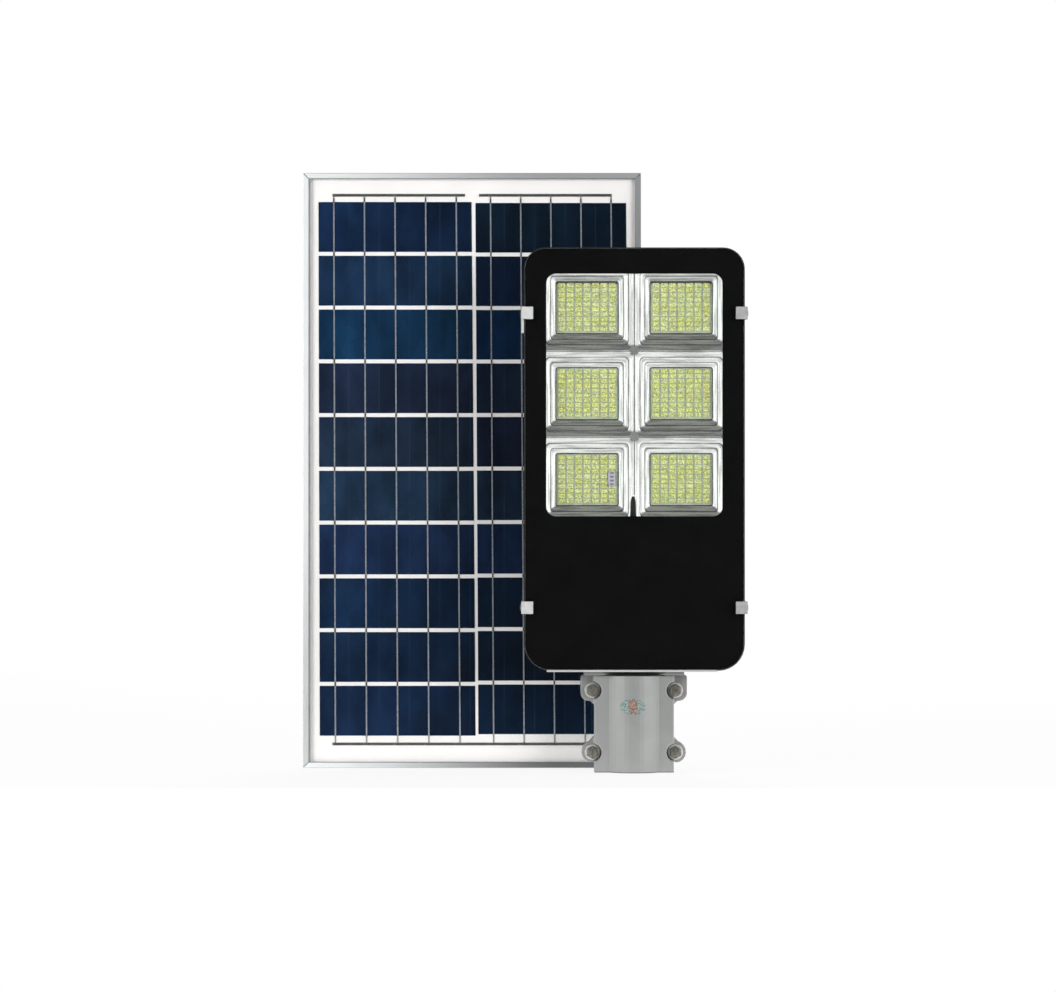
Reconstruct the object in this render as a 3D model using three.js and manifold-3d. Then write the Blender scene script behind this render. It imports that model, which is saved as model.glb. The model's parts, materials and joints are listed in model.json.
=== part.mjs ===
// Split-type solar street lamp: a framed solar panel that stands on its tilt bracket, and the LED lamp
// head that it feeds, standing on the end of its arm clamp. Millimetres, +X right, +Y back, +Z up.
// The origin is the middle of the underside of the panel's bottom rail. The lamp faces -Y.

import * as THREE from 'three';
import { mergeVertices } from 'three/addons/utils/BufferGeometryUtils.js';
import Module from 'manifold-3d';

const wasm = await Module();
wasm.setup();

// ---------------------------------------------------------------- driving dimensions

// The gap left between parts that touch.
const HAIR = 0.1;

const PANEL = { width: 350, height: 616, depth: 17 };
const RAIL = { wall: 1.6, skin: 1.4, lip: 5.7, shelf: 10, flange: 14, slot: 5 };
const MITRE_GAP = 0.15;
const KEY = { arm: 28, clear: 0.4, inset: 1 };
const LAMINATE_INSET = 2.2;
const GLASS_THICK = 3.2;
const CELL = { width: 157.6, height: 51.7, gapX: 3.6, gapZ: 4.1, rows: 10, thick: 0.4, gel: 0.22 };
const RIBBON = { count: 5, width: 1.4, topReach: 6.9, bottomReach: 5.2, proud: 0.12, sunk: 0.28 };
const BUS = { height: 2.8, outerEnd: 1, innerEnd: 10.3, proud: 0.1, sunk: 0.3 };

const CROSS_RAIL = { length: 336, height: 25, depth: 5, lowZ: 262, highZ: 440 };
const PIVOT = { y: 31, z: CROSS_RAIL.lowZ, radius: 3.9, holeRadius: 4.2, head: 7.5 };
const PIVOT_END = { head: 5.3, nut: 7, tip: 8 };
const EAR = { x: 100, thick: 3, radius: 12, base: 17, baseThick: 2.5 };
const LEG = { width: 24, thick: 3, length: 296, lean: 30, play: 0.5, spare: 40 };
const FOOT = { width: 214, depth: 50, thick: 4, pad: 2, holeX: 45, holeY: 13, holeRadius: 4.5 };
const PAD = { x: 88, halfWidth: 13, halfDepth: 22 };

const JUNCTION = { width: 110, height: 70, depth: 20, wall: 2.5, z: 540, radius: 6 };
const TERMINAL_STRIP = {
  lift: 1, spacing: 20, base: 4, baseHalf: 11, stud: 9, studHalfX: 6, studHalfZ: 8,
};
const GLAND = { nut: 9, thread: 5.9, bore: 3.2, hole: 6.3, inside: 6, outside: 14, seal: 0.3 };

const LAMP = { x: 166, gap: 12, depth: 70 };
const LAMP_FRONT = -PANEL.depth / 2 - LAMP.gap - LAMP.depth;
const GLASS = { halfWidth: 111.2, bottom: 105, top: 532.9, thick: 3.2, topRadius: 21, bottomRadius: 26 };
const HOUSING = { grow: 0.8, front: 5.8, chamber: 19.5, back: 23.5, wall: 4.5, bevel: 6 };
const BULGE = { halfWidth: 100, top: 254, radius: 16, wall: 4, back: 54.5, bevel: 5 };
const GASKET = { inset: 1, width: 5, front: 3.9 };
const PRINT = { inset: 0.4, front: 3.3, back: 3.75 };
const WINDOW = { halfWidth: 89.5, bottom: 260.9, top: 507.2, radius: 10 };
const FIN = { count: 13, pitch: 15, thick: 2.6, bottom: 246, top: 520, back: 60, root: 2 };
const FIN_SLOPE = { heel: 4, low: 20, high: 60, toe: 6 };
const LAMP_GLAND = { x: -62, z: 128, length: 11.2 };
const WIRE_HOLE = { radius: 6, y: 14 };

const MODULE = { pitchX: 95.8, pitchZ: 87.5, centreZ: 384.8, front: 6.2, back: 15.2, radius: 12 };
const POCKET = { halfX: 46.4, halfZ: 42.2, stepX: 3.3, stepZ: 3.6, steps: 5, lip: 1, depth: 2 };
const BOARD = { width: 68, height: 58, front: 15.5, thick: 1.6, radius: 2, screw: 1.6, screwInset: 2.6 };
const BOARD_PAD = { halfX: 30, halfZ: 25, gap: 0.3 };
const TERMINAL = { left: -26, width: 6.8, bottom: 291.6, height: 15.2, depth: 2.7 };
const RECEIVER = { x: -1.2, bottom: 256, knee: 276, top: 281, proud: 0.8, sunk: 3.6 };
const RECEIVER_HALF = { bottom: 3.2, knee: 2.6, top: 1.4 };
const NOTCH = { halfWidth: 4.4, depth: 4.2, top: 283 };
const BATTERY = { cells: 5, pitch: 32.4, radius: 16.5, bottom: 156, length: 68, y: 32.5, hollow: 6 };
const CONTROLLER = { halfWidth: 75, bottom: 114, height: 28, front: 44, thick: 1.6 };
const CHIPS = [
  { left: -60, width: 18, low: 5, tall: 18, stand: 9 },
  { left: -30, width: 18, low: 8, tall: 14, stand: 6 },
  { left: 0, width: 26, low: 4, tall: 14, stand: 11 },
];
const CAPACITOR = { x: 48, radius: 5, stand: 12 };

const SOCKET = { y: 34, bore: 27.5, outer: 32, length: 98.6, halfBody: 40.5, split: 0.3 };
const SHOULDER = { front: 20, rear: 12 };
const LUG = {
  halfTop: 54.3, topHeight: 26.2, thick: 9.3, radius: 11, corner: 8, fillet: 4, chamfer: 1.5,
};
const LUG_ROOT = { below: 9.5, above: 16 };
const SLIT = { half: 33, arc: 172 };
const NECK = { halfWidth: 50.9, front: 12, back: 50, thick: 5 };
const BOLT = {
  x: 42.3, highZ: 83.4, lowZ: 20.2, radius: 3.9, hole: 4.3,
  head: 7.5, headHeight: 7, washer: 7.8, washerThick: 1.6, seat: 9.3, play: 0.2, tip: 50,
};

const CLIP = {
  lowZ: 168.2, highZ: 467.2, half: 6.3, inner: 102.8, skin: 2.4, gap: 0.4, reach: 5.5, lift: 0.3,
};
const CLIP_SCREW = { radius: 2, hole: 2.4, tip: 104, head: 3.4, headHeight: 1.2, y: 12, play: 0.1 };

// ---------------------------------------------------------------- solids and shapes

function toSolid(geometry) {
  const bare = geometry.clone();
  bare.deleteAttribute('normal');
  bare.deleteAttribute('uv');
  const merged = mergeVertices(bare, 1e-4);
  return new wasm.Manifold(new wasm.Mesh({
    numProp: 3,
    vertProperties: new Float32Array(merged.attributes.position.array),
    triVerts: new Uint32Array(merged.index.array),
  }));
}

function toGeometry(solid) {
  const mesh = solid.getMesh();
  const geometry = new THREE.BufferGeometry();
  const positions = new Float32Array(mesh.numVert * 3);
  for (let i = 0; i < mesh.numVert; i += 1) {
    for (let k = 0; k < 3; k += 1) {
      positions[3 * i + k] = mesh.vertProperties[mesh.numProp * i + k];
    }
  }
  geometry.setAttribute('position', new THREE.BufferAttribute(positions, 3));
  geometry.setIndex(new THREE.BufferAttribute(new Uint32Array(mesh.triVerts), 1));
  geometry.computeVertexNormals();
  return geometry;
}

function join(...solids) {
  return solids.reduce((whole, piece) => whole.add(piece));
}

function cut(solid, ...tools) {
  return tools.reduce((left, tool) => left.subtract(tool), solid);
}

/** A box from its two extents along each axis. */
function block([x0, x1], [y0, y1], [z0, z1]) {
  const geometry = new THREE.BoxGeometry(x1 - x0, y1 - y0, z1 - z0);
  geometry.translate((x0 + x1) / 2, (y0 + y1) / 2, (z0 + z1) / 2);
  return toSolid(geometry);
}

/** A prism: a shape drawn in X and Z, running along Y from front to back. */
function plate(shape, front, back, segments = 6) {
  const geometry = new THREE.ExtrudeGeometry(shape, {
    depth: back - front, bevelEnabled: false, curveSegments: segments,
  });
  geometry.rotateX(Math.PI / 2);
  geometry.translate(0, back, 0);
  return toSolid(geometry);
}

/** A round bar along one axis, from one end to the other, about a centre in the other two axes. */
function rod(axis, radius, from, to, centre, sides = 16) {
  const geometry = new THREE.CylinderGeometry(radius, radius, to - from, sides);
  const middle = (from + to) / 2;
  if (axis === 'x') {
    geometry.rotateZ(Math.PI / 2);
    geometry.translate(middle, centre[0], centre[1]);
  } else if (axis === 'y') {
    geometry.translate(centre[0], middle, centre[1]);
  } else {
    geometry.rotateX(Math.PI / 2);
    geometry.translate(centre[0], centre[1], middle);
  }
  return toSolid(geometry);
}

function roundedRect(halfWidth, bottom, top, bottomRadius, topRadius = bottomRadius, centreX = 0) {
  const left = centreX - halfWidth;
  const right = centreX + halfWidth;
  const shape = new THREE.Shape();
  shape.moveTo(left + bottomRadius, bottom);
  shape.lineTo(right - bottomRadius, bottom);
  shape.absarc(right - bottomRadius, bottom + bottomRadius, bottomRadius, -Math.PI / 2, 0, false);
  shape.lineTo(right, top - topRadius);
  shape.absarc(right - topRadius, top - topRadius, topRadius, 0, Math.PI / 2, false);
  shape.lineTo(left + topRadius, top);
  shape.absarc(left + topRadius, top - topRadius, topRadius, Math.PI / 2, Math.PI, false);
  shape.lineTo(left, bottom + bottomRadius);
  shape.absarc(left + bottomRadius, bottom + bottomRadius, bottomRadius, Math.PI, 1.5 * Math.PI, false);
  return shape;
}

/** The lamp's outline, the same for glass, gasket and housing, grown or shrunk by a margin. */
function lampOutline(grow) {
  return roundedRect(
    GLASS.halfWidth + grow, GLASS.bottom - grow, GLASS.top + grow,
    GLASS.bottomRadius + grow, GLASS.topRadius + grow,
  );
}

// ---------------------------------------------------------------- materials

function finish(color, roughness, metalness, extra = {}) {
  return new THREE.MeshStandardMaterial({ color, roughness, metalness, ...extra });
}

const anodised = finish(0xc9cccd, 0.38, 0.9);
const clearGlass = finish(0xdfeaf0, 0.05, 0, { transparent: true, opacity: 0.2 });
const backsheetWhite = finish(0xeceef0, 0.6, 0);
const cellBlue = finish(0x0e2347, 0.25, 0.2);
const tinnedCopper = finish(0x8d9094, 0.35, 0.9);
const blackPlastic = finish(0x17181a, 0.5, 0);
const blackPrint = finish(0x0d0d0d, 0.3, 0);
const zincSteel = finish(0xa9abad, 0.4, 0.85);
const rubber = finish(0x1c1c1c, 0.85, 0);
const greyCasting = finish(0xb0b1b2, 0.5, 0.25);
const silverPlate = finish(0xe6e9e6, 0.18, 0.7);
const boardWhite = finish(0xb9c4a4, 0.5, 0);
const shrinkWrap = finish(0x1f4fa3, 0.4, 0);
const circuitGreen = finish(0x1f6b3a, 0.5, 0);
const castSilver = finish(0xd5d6d7, 0.35, 0.7);
const boltSteel = finish(0x99958c, 0.35, 0.9);
const lilacPlastic = finish(0xb3aec0, 0.5, 0);
const terminalGreen = finish(0x2e5e46, 0.5, 0);

const product = new THREE.Group();
const lamp = new THREE.Group();
lamp.position.set(LAMP.x, LAMP_FRONT, 0);
product.add(lamp);

function add(parent, name, solid, material) {
  const mesh = new THREE.Mesh(toGeometry(solid), material);
  mesh.name = name;
  parent.add(mesh);
  return mesh;
}

// ---------------------------------------------------------------- solar panel

const panelFront = -PANEL.depth / 2;
const panelBack = PANEL.depth / 2;
const slotFront = panelFront + RAIL.skin;
const slotBack = slotFront + RAIL.slot;
const shelfBack = slotBack + RAIL.skin;

/** One frame extrusion, lying along Z with its outside at X 0, its ends cut at 45 degrees. */
function frameRail(length) {
  const section = new THREE.Shape([
    [0, panelFront], [RAIL.lip, panelFront], [RAIL.lip, slotFront], [RAIL.wall, slotFront],
    [RAIL.wall, slotBack], [RAIL.shelf, slotBack], [RAIL.shelf, shelfBack], [RAIL.wall, shelfBack],
    [RAIL.wall, panelBack - RAIL.skin], [RAIL.flange, panelBack - RAIL.skin],
    [RAIL.flange, panelBack], [0, panelBack],
  ].map(([across, depth]) => new THREE.Vector2(across, depth)));
  const geometry = new THREE.ExtrudeGeometry(section, { depth: length, bevelEnabled: false });
  const position = geometry.attributes.position;
  for (let i = 0; i < position.count; i += 1) {
    const back = position.getX(i) + MITRE_GAP;
    position.setZ(i, position.getZ(i) > length / 2 ? length / 2 - back : back - length / 2);
  }
  return toSolid(geometry);
}

function addFrame() {
  const { width, height } = PANEL;
  const sides = [
    ['frame_left', height, width, 0],
    ['frame_top', width, height, Math.PI / 2],
    ['frame_right', height, width, Math.PI],
    ['frame_bottom', width, height, -Math.PI / 2],
  ];
  for (const [name, length, across, turn] of sides) {
    const mesh = add(product, name, frameRail(length).translate([-across / 2, 0, 0]), anodised);
    mesh.rotation.y = turn;
    mesh.position.z = height / 2;
  }
}

/** L-shaped keys in the rear channel of the frame, one at each mitre. */
function addCornerKeys() {
  const { arm, clear } = KEY;
  const near = RAIL.wall + clear;
  const far = RAIL.shelf - KEY.inset;
  const outline = new THREE.Shape([
    [near, near], [arm, near], [arm, far], [far, far], [far, arm], [near, arm],
  ].map(([x, z]) => new THREE.Vector2(x - PANEL.width / 2, z - PANEL.height / 2)));
  const key = plate(outline, shelfBack + clear, panelBack - RAIL.skin - clear);
  for (let corner = 0; corner < 4; corner += 1) {
    const flipX = corner % 2 === 1;
    const flipZ = corner > 1;
    let solid = flipX ? key.mirror([1, 0, 0]) : key;
    solid = flipZ ? solid.mirror([0, 0, 1]) : solid;
    add(product, `corner_key_${corner + 1}`, solid.translate([0, 0, PANEL.height / 2]), zincSteel);
  }
}

const glassBack = slotFront + HAIR + GLASS_THICK;
const cellFront = glassBack + CELL.gel;
const cellBlockHeight = CELL.rows * (CELL.height + CELL.gapZ) - CELL.gapZ;
const cellBottom = (PANEL.height - cellBlockHeight) / 2;
const cellTop = cellBottom + cellBlockHeight;

/** Left edge of a column of cells: 0 is the left one and 1 the right one. */
function columnLeft(column) {
  return column === 0 ? -CELL.gapX / 2 - CELL.width : CELL.gapX / 2;
}

function ribbonX(column, index) {
  return columnLeft(column) + (index + 0.5) * CELL.width / RIBBON.count;
}

/** Ten third-cut cells in series, soldered together by five flat ribbons. */
function cellString(column) {
  const left = columnLeft(column);
  const depth = [cellFront, cellFront + CELL.thick];
  const pieces = [];
  for (let row = 0; row < CELL.rows; row += 1) {
    const low = cellBottom + row * (CELL.height + CELL.gapZ);
    pieces.push(block([left, left + CELL.width], depth, [low, low + CELL.height]));
  }
  for (let i = 0; i < RIBBON.count; i += 1) {
    const x = ribbonX(column, i);
    pieces.push(block(
      [x - RIBBON.width / 2, x + RIBBON.width / 2], [cellFront - RIBBON.proud, cellFront + RIBBON.sunk],
      [cellBottom - RIBBON.bottomReach + HAIR, cellTop + RIBBON.topReach - HAIR],
    ));
  }
  return join(...pieces);
}

function addLaminate() {
  const across = [-PANEL.width / 2 + LAMINATE_INSET, PANEL.width / 2 - LAMINATE_INSET];
  const up = [LAMINATE_INSET, PANEL.height - LAMINATE_INSET];
  const cellBack = cellFront + CELL.thick;
  add(product, 'panel_glass', block(across, [slotFront + HAIR, glassBack], up), clearGlass);
  add(product, 'backsheet', block(across, [cellBack + HAIR, slotBack - HAIR], up), backsheetWhite);
  add(product, 'cell_string_left', cellString(0), cellBlue);
  add(product, 'cell_string_right', cellString(1), cellBlue);

  const busDepth = [cellFront - BUS.proud, cellFront + BUS.sunk];
  const topZ = [cellTop + RIBBON.topReach, cellTop + RIBBON.topReach + BUS.height];
  const bottomZ = [cellBottom - RIBBON.bottomReach - BUS.height, cellBottom - RIBBON.bottomReach];
  const last = RIBBON.count - 1;
  const busLeft = [ribbonX(0, 0) - BUS.outerEnd, ribbonX(0, last) + BUS.innerEnd];
  const busRight = [ribbonX(1, 0) - BUS.innerEnd, ribbonX(1, last) + BUS.outerEnd];
  add(product, 'bus_ribbon_top_left', block(busLeft, busDepth, topZ), tinnedCopper);
  add(product, 'bus_ribbon_top_right', block(busRight, busDepth, topZ), tinnedCopper);
  add(product, 'bus_ribbon_bottom', block([busLeft[0], busRight[1]], busDepth, bottomZ), tinnedCopper);
}

/** A cable gland along one axis: thread through the wall, flanged nut outside, clear bore. */
function gland(axis, threadEnd, face, nutEnd, centre) {
  const low = Math.min(threadEnd, nutEnd);
  const high = Math.max(threadEnd, nutEnd);
  const nut = [Math.min(face, nutEnd), Math.max(face, nutEnd)];
  const thread = [Math.min(face, threadEnd), Math.max(face, threadEnd)];
  const body = join(
    rod(axis, GLAND.nut, nut[0], nut[1], centre, 12),
    rod(axis, GLAND.thread, thread[0] - 0.5, thread[1] + 0.5, centre),
  );
  return cut(body, rod(axis, GLAND.bore, low - 2, high + 2, centre, 12));
}

/** The terminal strip in the junction box: a base with three raised terminals on it. */
function terminalBlock(deck) {
  const { lift, spacing, base, baseHalf, stud, studHalfX, studHalfZ } = TERMINAL_STRIP;
  const middle = JUNCTION.z + lift;
  const half = 1.5 * spacing;
  const strip = block([-half, half], [deck, deck + base], [middle - baseHalf, middle + baseHalf]);
  const raised = [-spacing, 0, spacing].map((x) => block(
    [x - studHalfX, x + studHalfX], [deck + base - 1, deck + stud],
    [middle - studHalfZ, middle + studHalfZ],
  ));
  return join(strip, ...raised);
}

function addJunctionBox() {
  const half = JUNCTION.width / 2;
  const front = slotBack;
  const back = front + JUNCTION.depth;
  const z0 = JUNCTION.z - JUNCTION.height / 2;
  const z1 = JUNCTION.z + JUNCTION.height / 2;
  const w = JUNCTION.wall;
  const glandCentre = [0, (front + back) / 2];
  const outlet = gland('z', z0 + w + GLAND.inside, z0 - GLAND.seal, z0 - GLAND.outside, glandCentre);
  const shell = cut(
    plate(roundedRect(half, z0, z1, JUNCTION.radius), front, back),
    plate(roundedRect(half - w, z0 + w, z1 - w, JUNCTION.radius - 2), front + w, back + 1),
    rod('z', GLAND.hole, z0 - 1, z0 + w + 1, glandCentre),
  );
  const lid = plate(roundedRect(half, z0, z1, JUNCTION.radius), back + HAIR, back + w);
  add(product, 'junction_box', shell, blackPlastic);
  add(product, 'junction_box_lid', lid, blackPlastic);
  add(product, 'terminal_block', terminalBlock(front + w + 2 * HAIR), terminalGreen);
  add(product, 'panel_cable_gland', outlet, blackPlastic);
}

// ---------------------------------------------------------------- rear tilt bracket

function addCrossRails() {
  const half = CROSS_RAIL.length / 2;
  const front = panelBack + HAIR;
  for (const [name, z] of [['cross_rail_lower', CROSS_RAIL.lowZ], ['cross_rail_upper', CROSS_RAIL.highZ]]) {
    const bar = block([-half, half], [front, front + CROSS_RAIL.depth],
      [z - CROSS_RAIL.height / 2, z + CROSS_RAIL.height / 2]);
    add(product, name, bar, anodised);
  }
}

/** An ear that carries one leg's pivot: a base on the lower cross rail and a plate that stands back. */
function hingeEar(side) {
  const base = panelBack + CROSS_RAIL.depth + 3 * HAIR;
  const baseBack = base + EAR.baseThick;
  const low = PIVOT.z - EAR.radius;
  const high = PIVOT.z + EAR.radius;
  const outer = EAR.x + EAR.thick;
  const ear = join(
    block([outer - EAR.base, outer], [base, baseBack], [low, high]),
    block([EAR.x, outer], [base, PIVOT.y], [low, high]),
    rod('x', EAR.radius, EAR.x, outer, [PIVOT.y, PIVOT.z], 24),
  );
  const drilled = cut(ear, rod('x', PIVOT.holeRadius, EAR.x - 2, outer + 2, [PIVOT.y, PIVOT.z]));
  return side < 0 ? drilled.mirror([1, 0, 0]) : drilled;
}

/** Pivot bolt: hex head outside the ear, nut inside the leg. */
function pivotBolt(side) {
  const centre = [PIVOT.y, PIVOT.z];
  const outer = EAR.x + EAR.thick + 3 * HAIR;
  const inner = EAR.x - LEG.thick - 1;
  const bolt = join(
    rod('x', PIVOT.radius, inner - PIVOT_END.tip, outer + 1, centre),
    rod('x', PIVOT.head, outer, outer + PIVOT_END.head, centre, 6),
    rod('x', PIVOT.head, inner - PIVOT_END.nut, inner, centre, 6),
  );
  return side < 0 ? bolt.mirror([1, 0, 0]) : bolt;
}

const lean = THREE.MathUtils.degToRad(LEG.lean);
const footY = PIVOT.y + LEG.length * Math.sin(lean);
const footTop = FOOT.pad + FOOT.thick + HAIR;

/** A flat leg from its pivot down to the foot plate, leaning back. */
function leg(side) {
  const outer = EAR.x - LEG.play;
  const inner = outer - LEG.thick;
  const half = LEG.width / 2;
  const bar = join(
    block([inner, outer], [-half, half], [-LEG.length - LEG.spare, 0]),
    rod('x', half, inner, outer, [0, 0], 24),
  ).rotate([LEG.lean, 0, 0]).translate([0, PIVOT.y, PIVOT.z]);
  const trimmed = cut(
    bar,
    block([inner - 5, outer + 5], [0, 400], [-100, footTop + 3 * HAIR]),
    rod('x', PIVOT.holeRadius, inner - 2, outer + 2, [PIVOT.y, PIVOT.z]),
  );
  return side < 0 ? trimmed.mirror([1, 0, 0]) : trimmed;
}

function addTiltBracket() {
  for (const [word, side] of [['left', -1], ['right', 1]]) {
    add(product, `hinge_ear_${word}`, hingeEar(side), zincSteel);
    add(product, `pivot_bolt_${word}`, pivotBolt(side), boltSteel);
    add(product, `bracket_leg_${word}`, leg(side), zincSteel);
    const pad = block(
      [side * PAD.x - PAD.halfWidth, side * PAD.x + PAD.halfWidth],
      [footY - PAD.halfDepth, footY + PAD.halfDepth], [0, FOOT.pad],
    );
    add(product, `foot_pad_${word}`, pad, rubber);
  }
  const half = FOOT.width / 2;
  const outline = block([-half, half], [footY - FOOT.depth / 2, footY + FOOT.depth / 2],
    [FOOT.pad + HAIR, footTop]);
  const holes = [-FOOT.holeX, FOOT.holeX].flatMap((x) => [-FOOT.holeY, FOOT.holeY].map((y) => (
    rod('z', FOOT.holeRadius, 0, footTop + 5, [x, footY + y], 12)
  )));
  add(product, 'bracket_foot_plate', cut(outline, ...holes), zincSteel);
}

// ---------------------------------------------------------------- lamp head

/** A prism with its back edge rounded over, drawn as plate() draws one. */
function roundedPlate(shape, front, back, bevel) {
  const geometry = new THREE.ExtrudeGeometry(shape, {
    depth: back - front, bevelEnabled: true, bevelThickness: bevel, bevelSize: bevel,
    bevelOffset: -bevel, bevelSegments: 3, curveSegments: 6,
  });
  geometry.rotateX(Math.PI / 2);
  geometry.translate(0, back - bevel, 0);
  return cut(toSolid(geometry), block([-200, 200], [-200, front], [0, 700]));
}

/** One cooling fin, standing back from the LED end of the housing, lower at its outer end. */
function fin(x) {
  const outline = new THREE.Shape([
    [HOUSING.back - FIN.root, FIN.bottom], [BULGE.back - FIN_SLOPE.heel, FIN.bottom],
    [FIN.back, FIN.bottom + FIN_SLOPE.low], [FIN.back, FIN.top - FIN_SLOPE.high],
    [HOUSING.back + FIN_SLOPE.toe, FIN.top], [HOUSING.back - FIN.root, FIN.top],
  ].map(([y, z]) => new THREE.Vector2(y, z)));
  const geometry = new THREE.ExtrudeGeometry(outline, { depth: FIN.thick, bevelEnabled: false });
  geometry.applyMatrix4(new THREE.Matrix4().set(
    0, 0, 1, x - FIN.thick / 2,
    1, 0, 0, 0,
    0, 1, 0, 0,
    0, 0, 0, 1,
  ));
  return toSolid(geometry);
}

/** The cast housing: a shallow tray behind the LEDs with fins on its back, and a bulge for the battery. */
function housing() {
  const bottom = GLASS.bottom - HOUSING.grow;
  const tray = roundedPlate(lampOutline(HOUSING.grow), HOUSING.front, HOUSING.back, HOUSING.bevel);
  const bulge = roundedPlate(
    roundedRect(BULGE.halfWidth, bottom, BULGE.top, BULGE.radius),
    HOUSING.chamber - 2, BULGE.back, BULGE.bevel,
  );
  const fins = [];
  for (let i = 0; i < FIN.count; i += 1) {
    fins.push(fin((i - (FIN.count - 1) / 2) * FIN.pitch));
  }
  const chamber = plate(lampOutline(HOUSING.grow - HOUSING.wall), 0, HOUSING.chamber);
  const batteryChamber = plate(
    roundedRect(
      BULGE.halfWidth - BULGE.wall, bottom + BULGE.wall, BULGE.top - BULGE.wall, BULGE.radius - BULGE.wall,
    ),
    HOUSING.chamber - 1, BULGE.back - BULGE.wall,
  );
  const pads = moduleCentres().map(([x, z]) => block(
    [x - BOARD_PAD.halfX, x + BOARD_PAD.halfX],
    [BOARD.front + BOARD.thick + BOARD_PAD.gap, HOUSING.chamber + 1],
    [z - BOARD_PAD.halfZ, z + BOARD_PAD.halfZ],
  ));
  const wide = GLASS.halfWidth + 20;
  const screwHoles = [CLIP.lowZ, CLIP.highZ].map((z) => (
    rod('x', CLIP_SCREW.hole, -wide, wide, [CLIP_SCREW.y, z], 12)
  ));
  const hollow = cut(join(tray, bulge, ...fins), chamber, batteryChamber, ...screwHoles);
  return cut(
    join(hollow, ...pads),
    rod('y', GLAND.hole, BULGE.back - BULGE.wall - 3, BULGE.back + 3, [LAMP_GLAND.x, LAMP_GLAND.z]),
    rod('z', WIRE_HOLE.radius, bottom - 5, bottom + BULGE.wall + 5, [0, WIRE_HOLE.y]),
  );
}

/** The reflector: six wells that step down from shared ridges to the openings over the LED boards. */
function reflector() {
  const halfX = MODULE.pitchX;
  const halfZ = 1.5 * MODULE.pitchZ;
  const { front, back, centreZ } = MODULE;
  const wells = [];
  for (const [x, z] of moduleCentres()) {
    for (let step = 0; step < POCKET.steps; step += 1) {
      const hx = POCKET.halfX - step * POCKET.stepX;
      const hz = POCKET.halfZ - step * POCKET.stepZ;
      const last = step === POCKET.steps - 1;
      const floor = last ? back + 1 : front + POCKET.lip + (step + 0.5) * POCKET.depth;
      wells.push(block([x - hx, x + hx], [front - 1, floor], [z - hz, z + hz]));
    }
  }
  const notch = block(
    [RECEIVER.x - NOTCH.halfWidth, RECEIVER.x + NOTCH.halfWidth], [front - 1, front + NOTCH.depth],
    [centreZ - halfZ - 1, NOTCH.top],
  );
  const whole = plate(roundedRect(halfX, centreZ - halfZ, centreZ + halfZ, MODULE.radius), front, back);
  return cut(whole, ...wells, notch);
}

/** Centres of the six LED modules in X and Z, row by row from the top left. */
function moduleCentres() {
  const centres = [];
  for (let row = 1; row >= -1; row -= 1) {
    for (const side of [-1, 1]) {
      centres.push([side * MODULE.pitchX / 2, MODULE.centreZ + row * MODULE.pitchZ]);
    }
  }
  return centres;
}

function ledBoard([x, z]) {
  const board = plate(
    roundedRect(BOARD.width / 2, z - BOARD.height / 2, z + BOARD.height / 2, BOARD.radius, BOARD.radius, x),
    BOARD.front, BOARD.front + BOARD.thick, 2,
  );
  const out = BOARD.width / 2 - BOARD.screwInset;
  const holes = [-out, out].map((across) => (
    rod('y', BOARD.screw, BOARD.front - 2, BOARD.front + 4, [x + across, z], 8)
  ));
  return cut(board, ...holes);
}

/** Five cylindrical cells side by side in one shrink-wrapped pack. */
function batteryPack() {
  const { cells: count, pitch, radius, bottom, length, y } = BATTERY;
  const top = bottom + length;
  const cells = [];
  for (let i = 0; i < count; i += 1) {
    cells.push(rod('z', radius, bottom, top, [(i - (count - 1) / 2) * pitch, y], 16));
  }
  const half = ((count - 1) / 2) * pitch;
  const halfWeb = radius - BATTERY.hollow;
  const web = block([-half, half], [y - halfWeb, y + halfWeb], [bottom + 0.5, top - 0.5]);
  return join(...cells, web);
}

/** The charge controller: a circuit board with two chips, a coil and a capacitor on its front. */
function controllerBoard() {
  const { halfWidth, bottom, height, front, thick } = CONTROLLER;
  const rooted = front + 0.5;
  const chips = CHIPS.map(({ left, width, low, tall, stand }) => block(
    [left, left + width], [front - stand, rooted], [bottom + low, bottom + low + tall],
  ));
  const place = [CAPACITOR.x, bottom + height / 2];
  return join(
    block([-halfWidth, halfWidth], [front, front + thick], [bottom, bottom + height]),
    rod('y', CAPACITOR.radius, front - CAPACITOR.stand, rooted, place, 12),
    ...chips,
  );
}

/** The remote-control receiver: a slim tapered window in the middle ridge. */
function receiver() {
  const { x, bottom, knee, top } = RECEIVER;
  const half = RECEIVER_HALF;
  const outline = new THREE.Shape([
    [x - half.bottom, bottom], [x + half.bottom, bottom], [x + half.knee, knee],
    [x + half.top, top], [x - half.top, top], [x - half.knee, knee],
  ].map(([across, up]) => new THREE.Vector2(across, up)));
  return plate(outline, MODULE.front - RECEIVER.proud, MODULE.front + RECEIVER.sunk);
}

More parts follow.
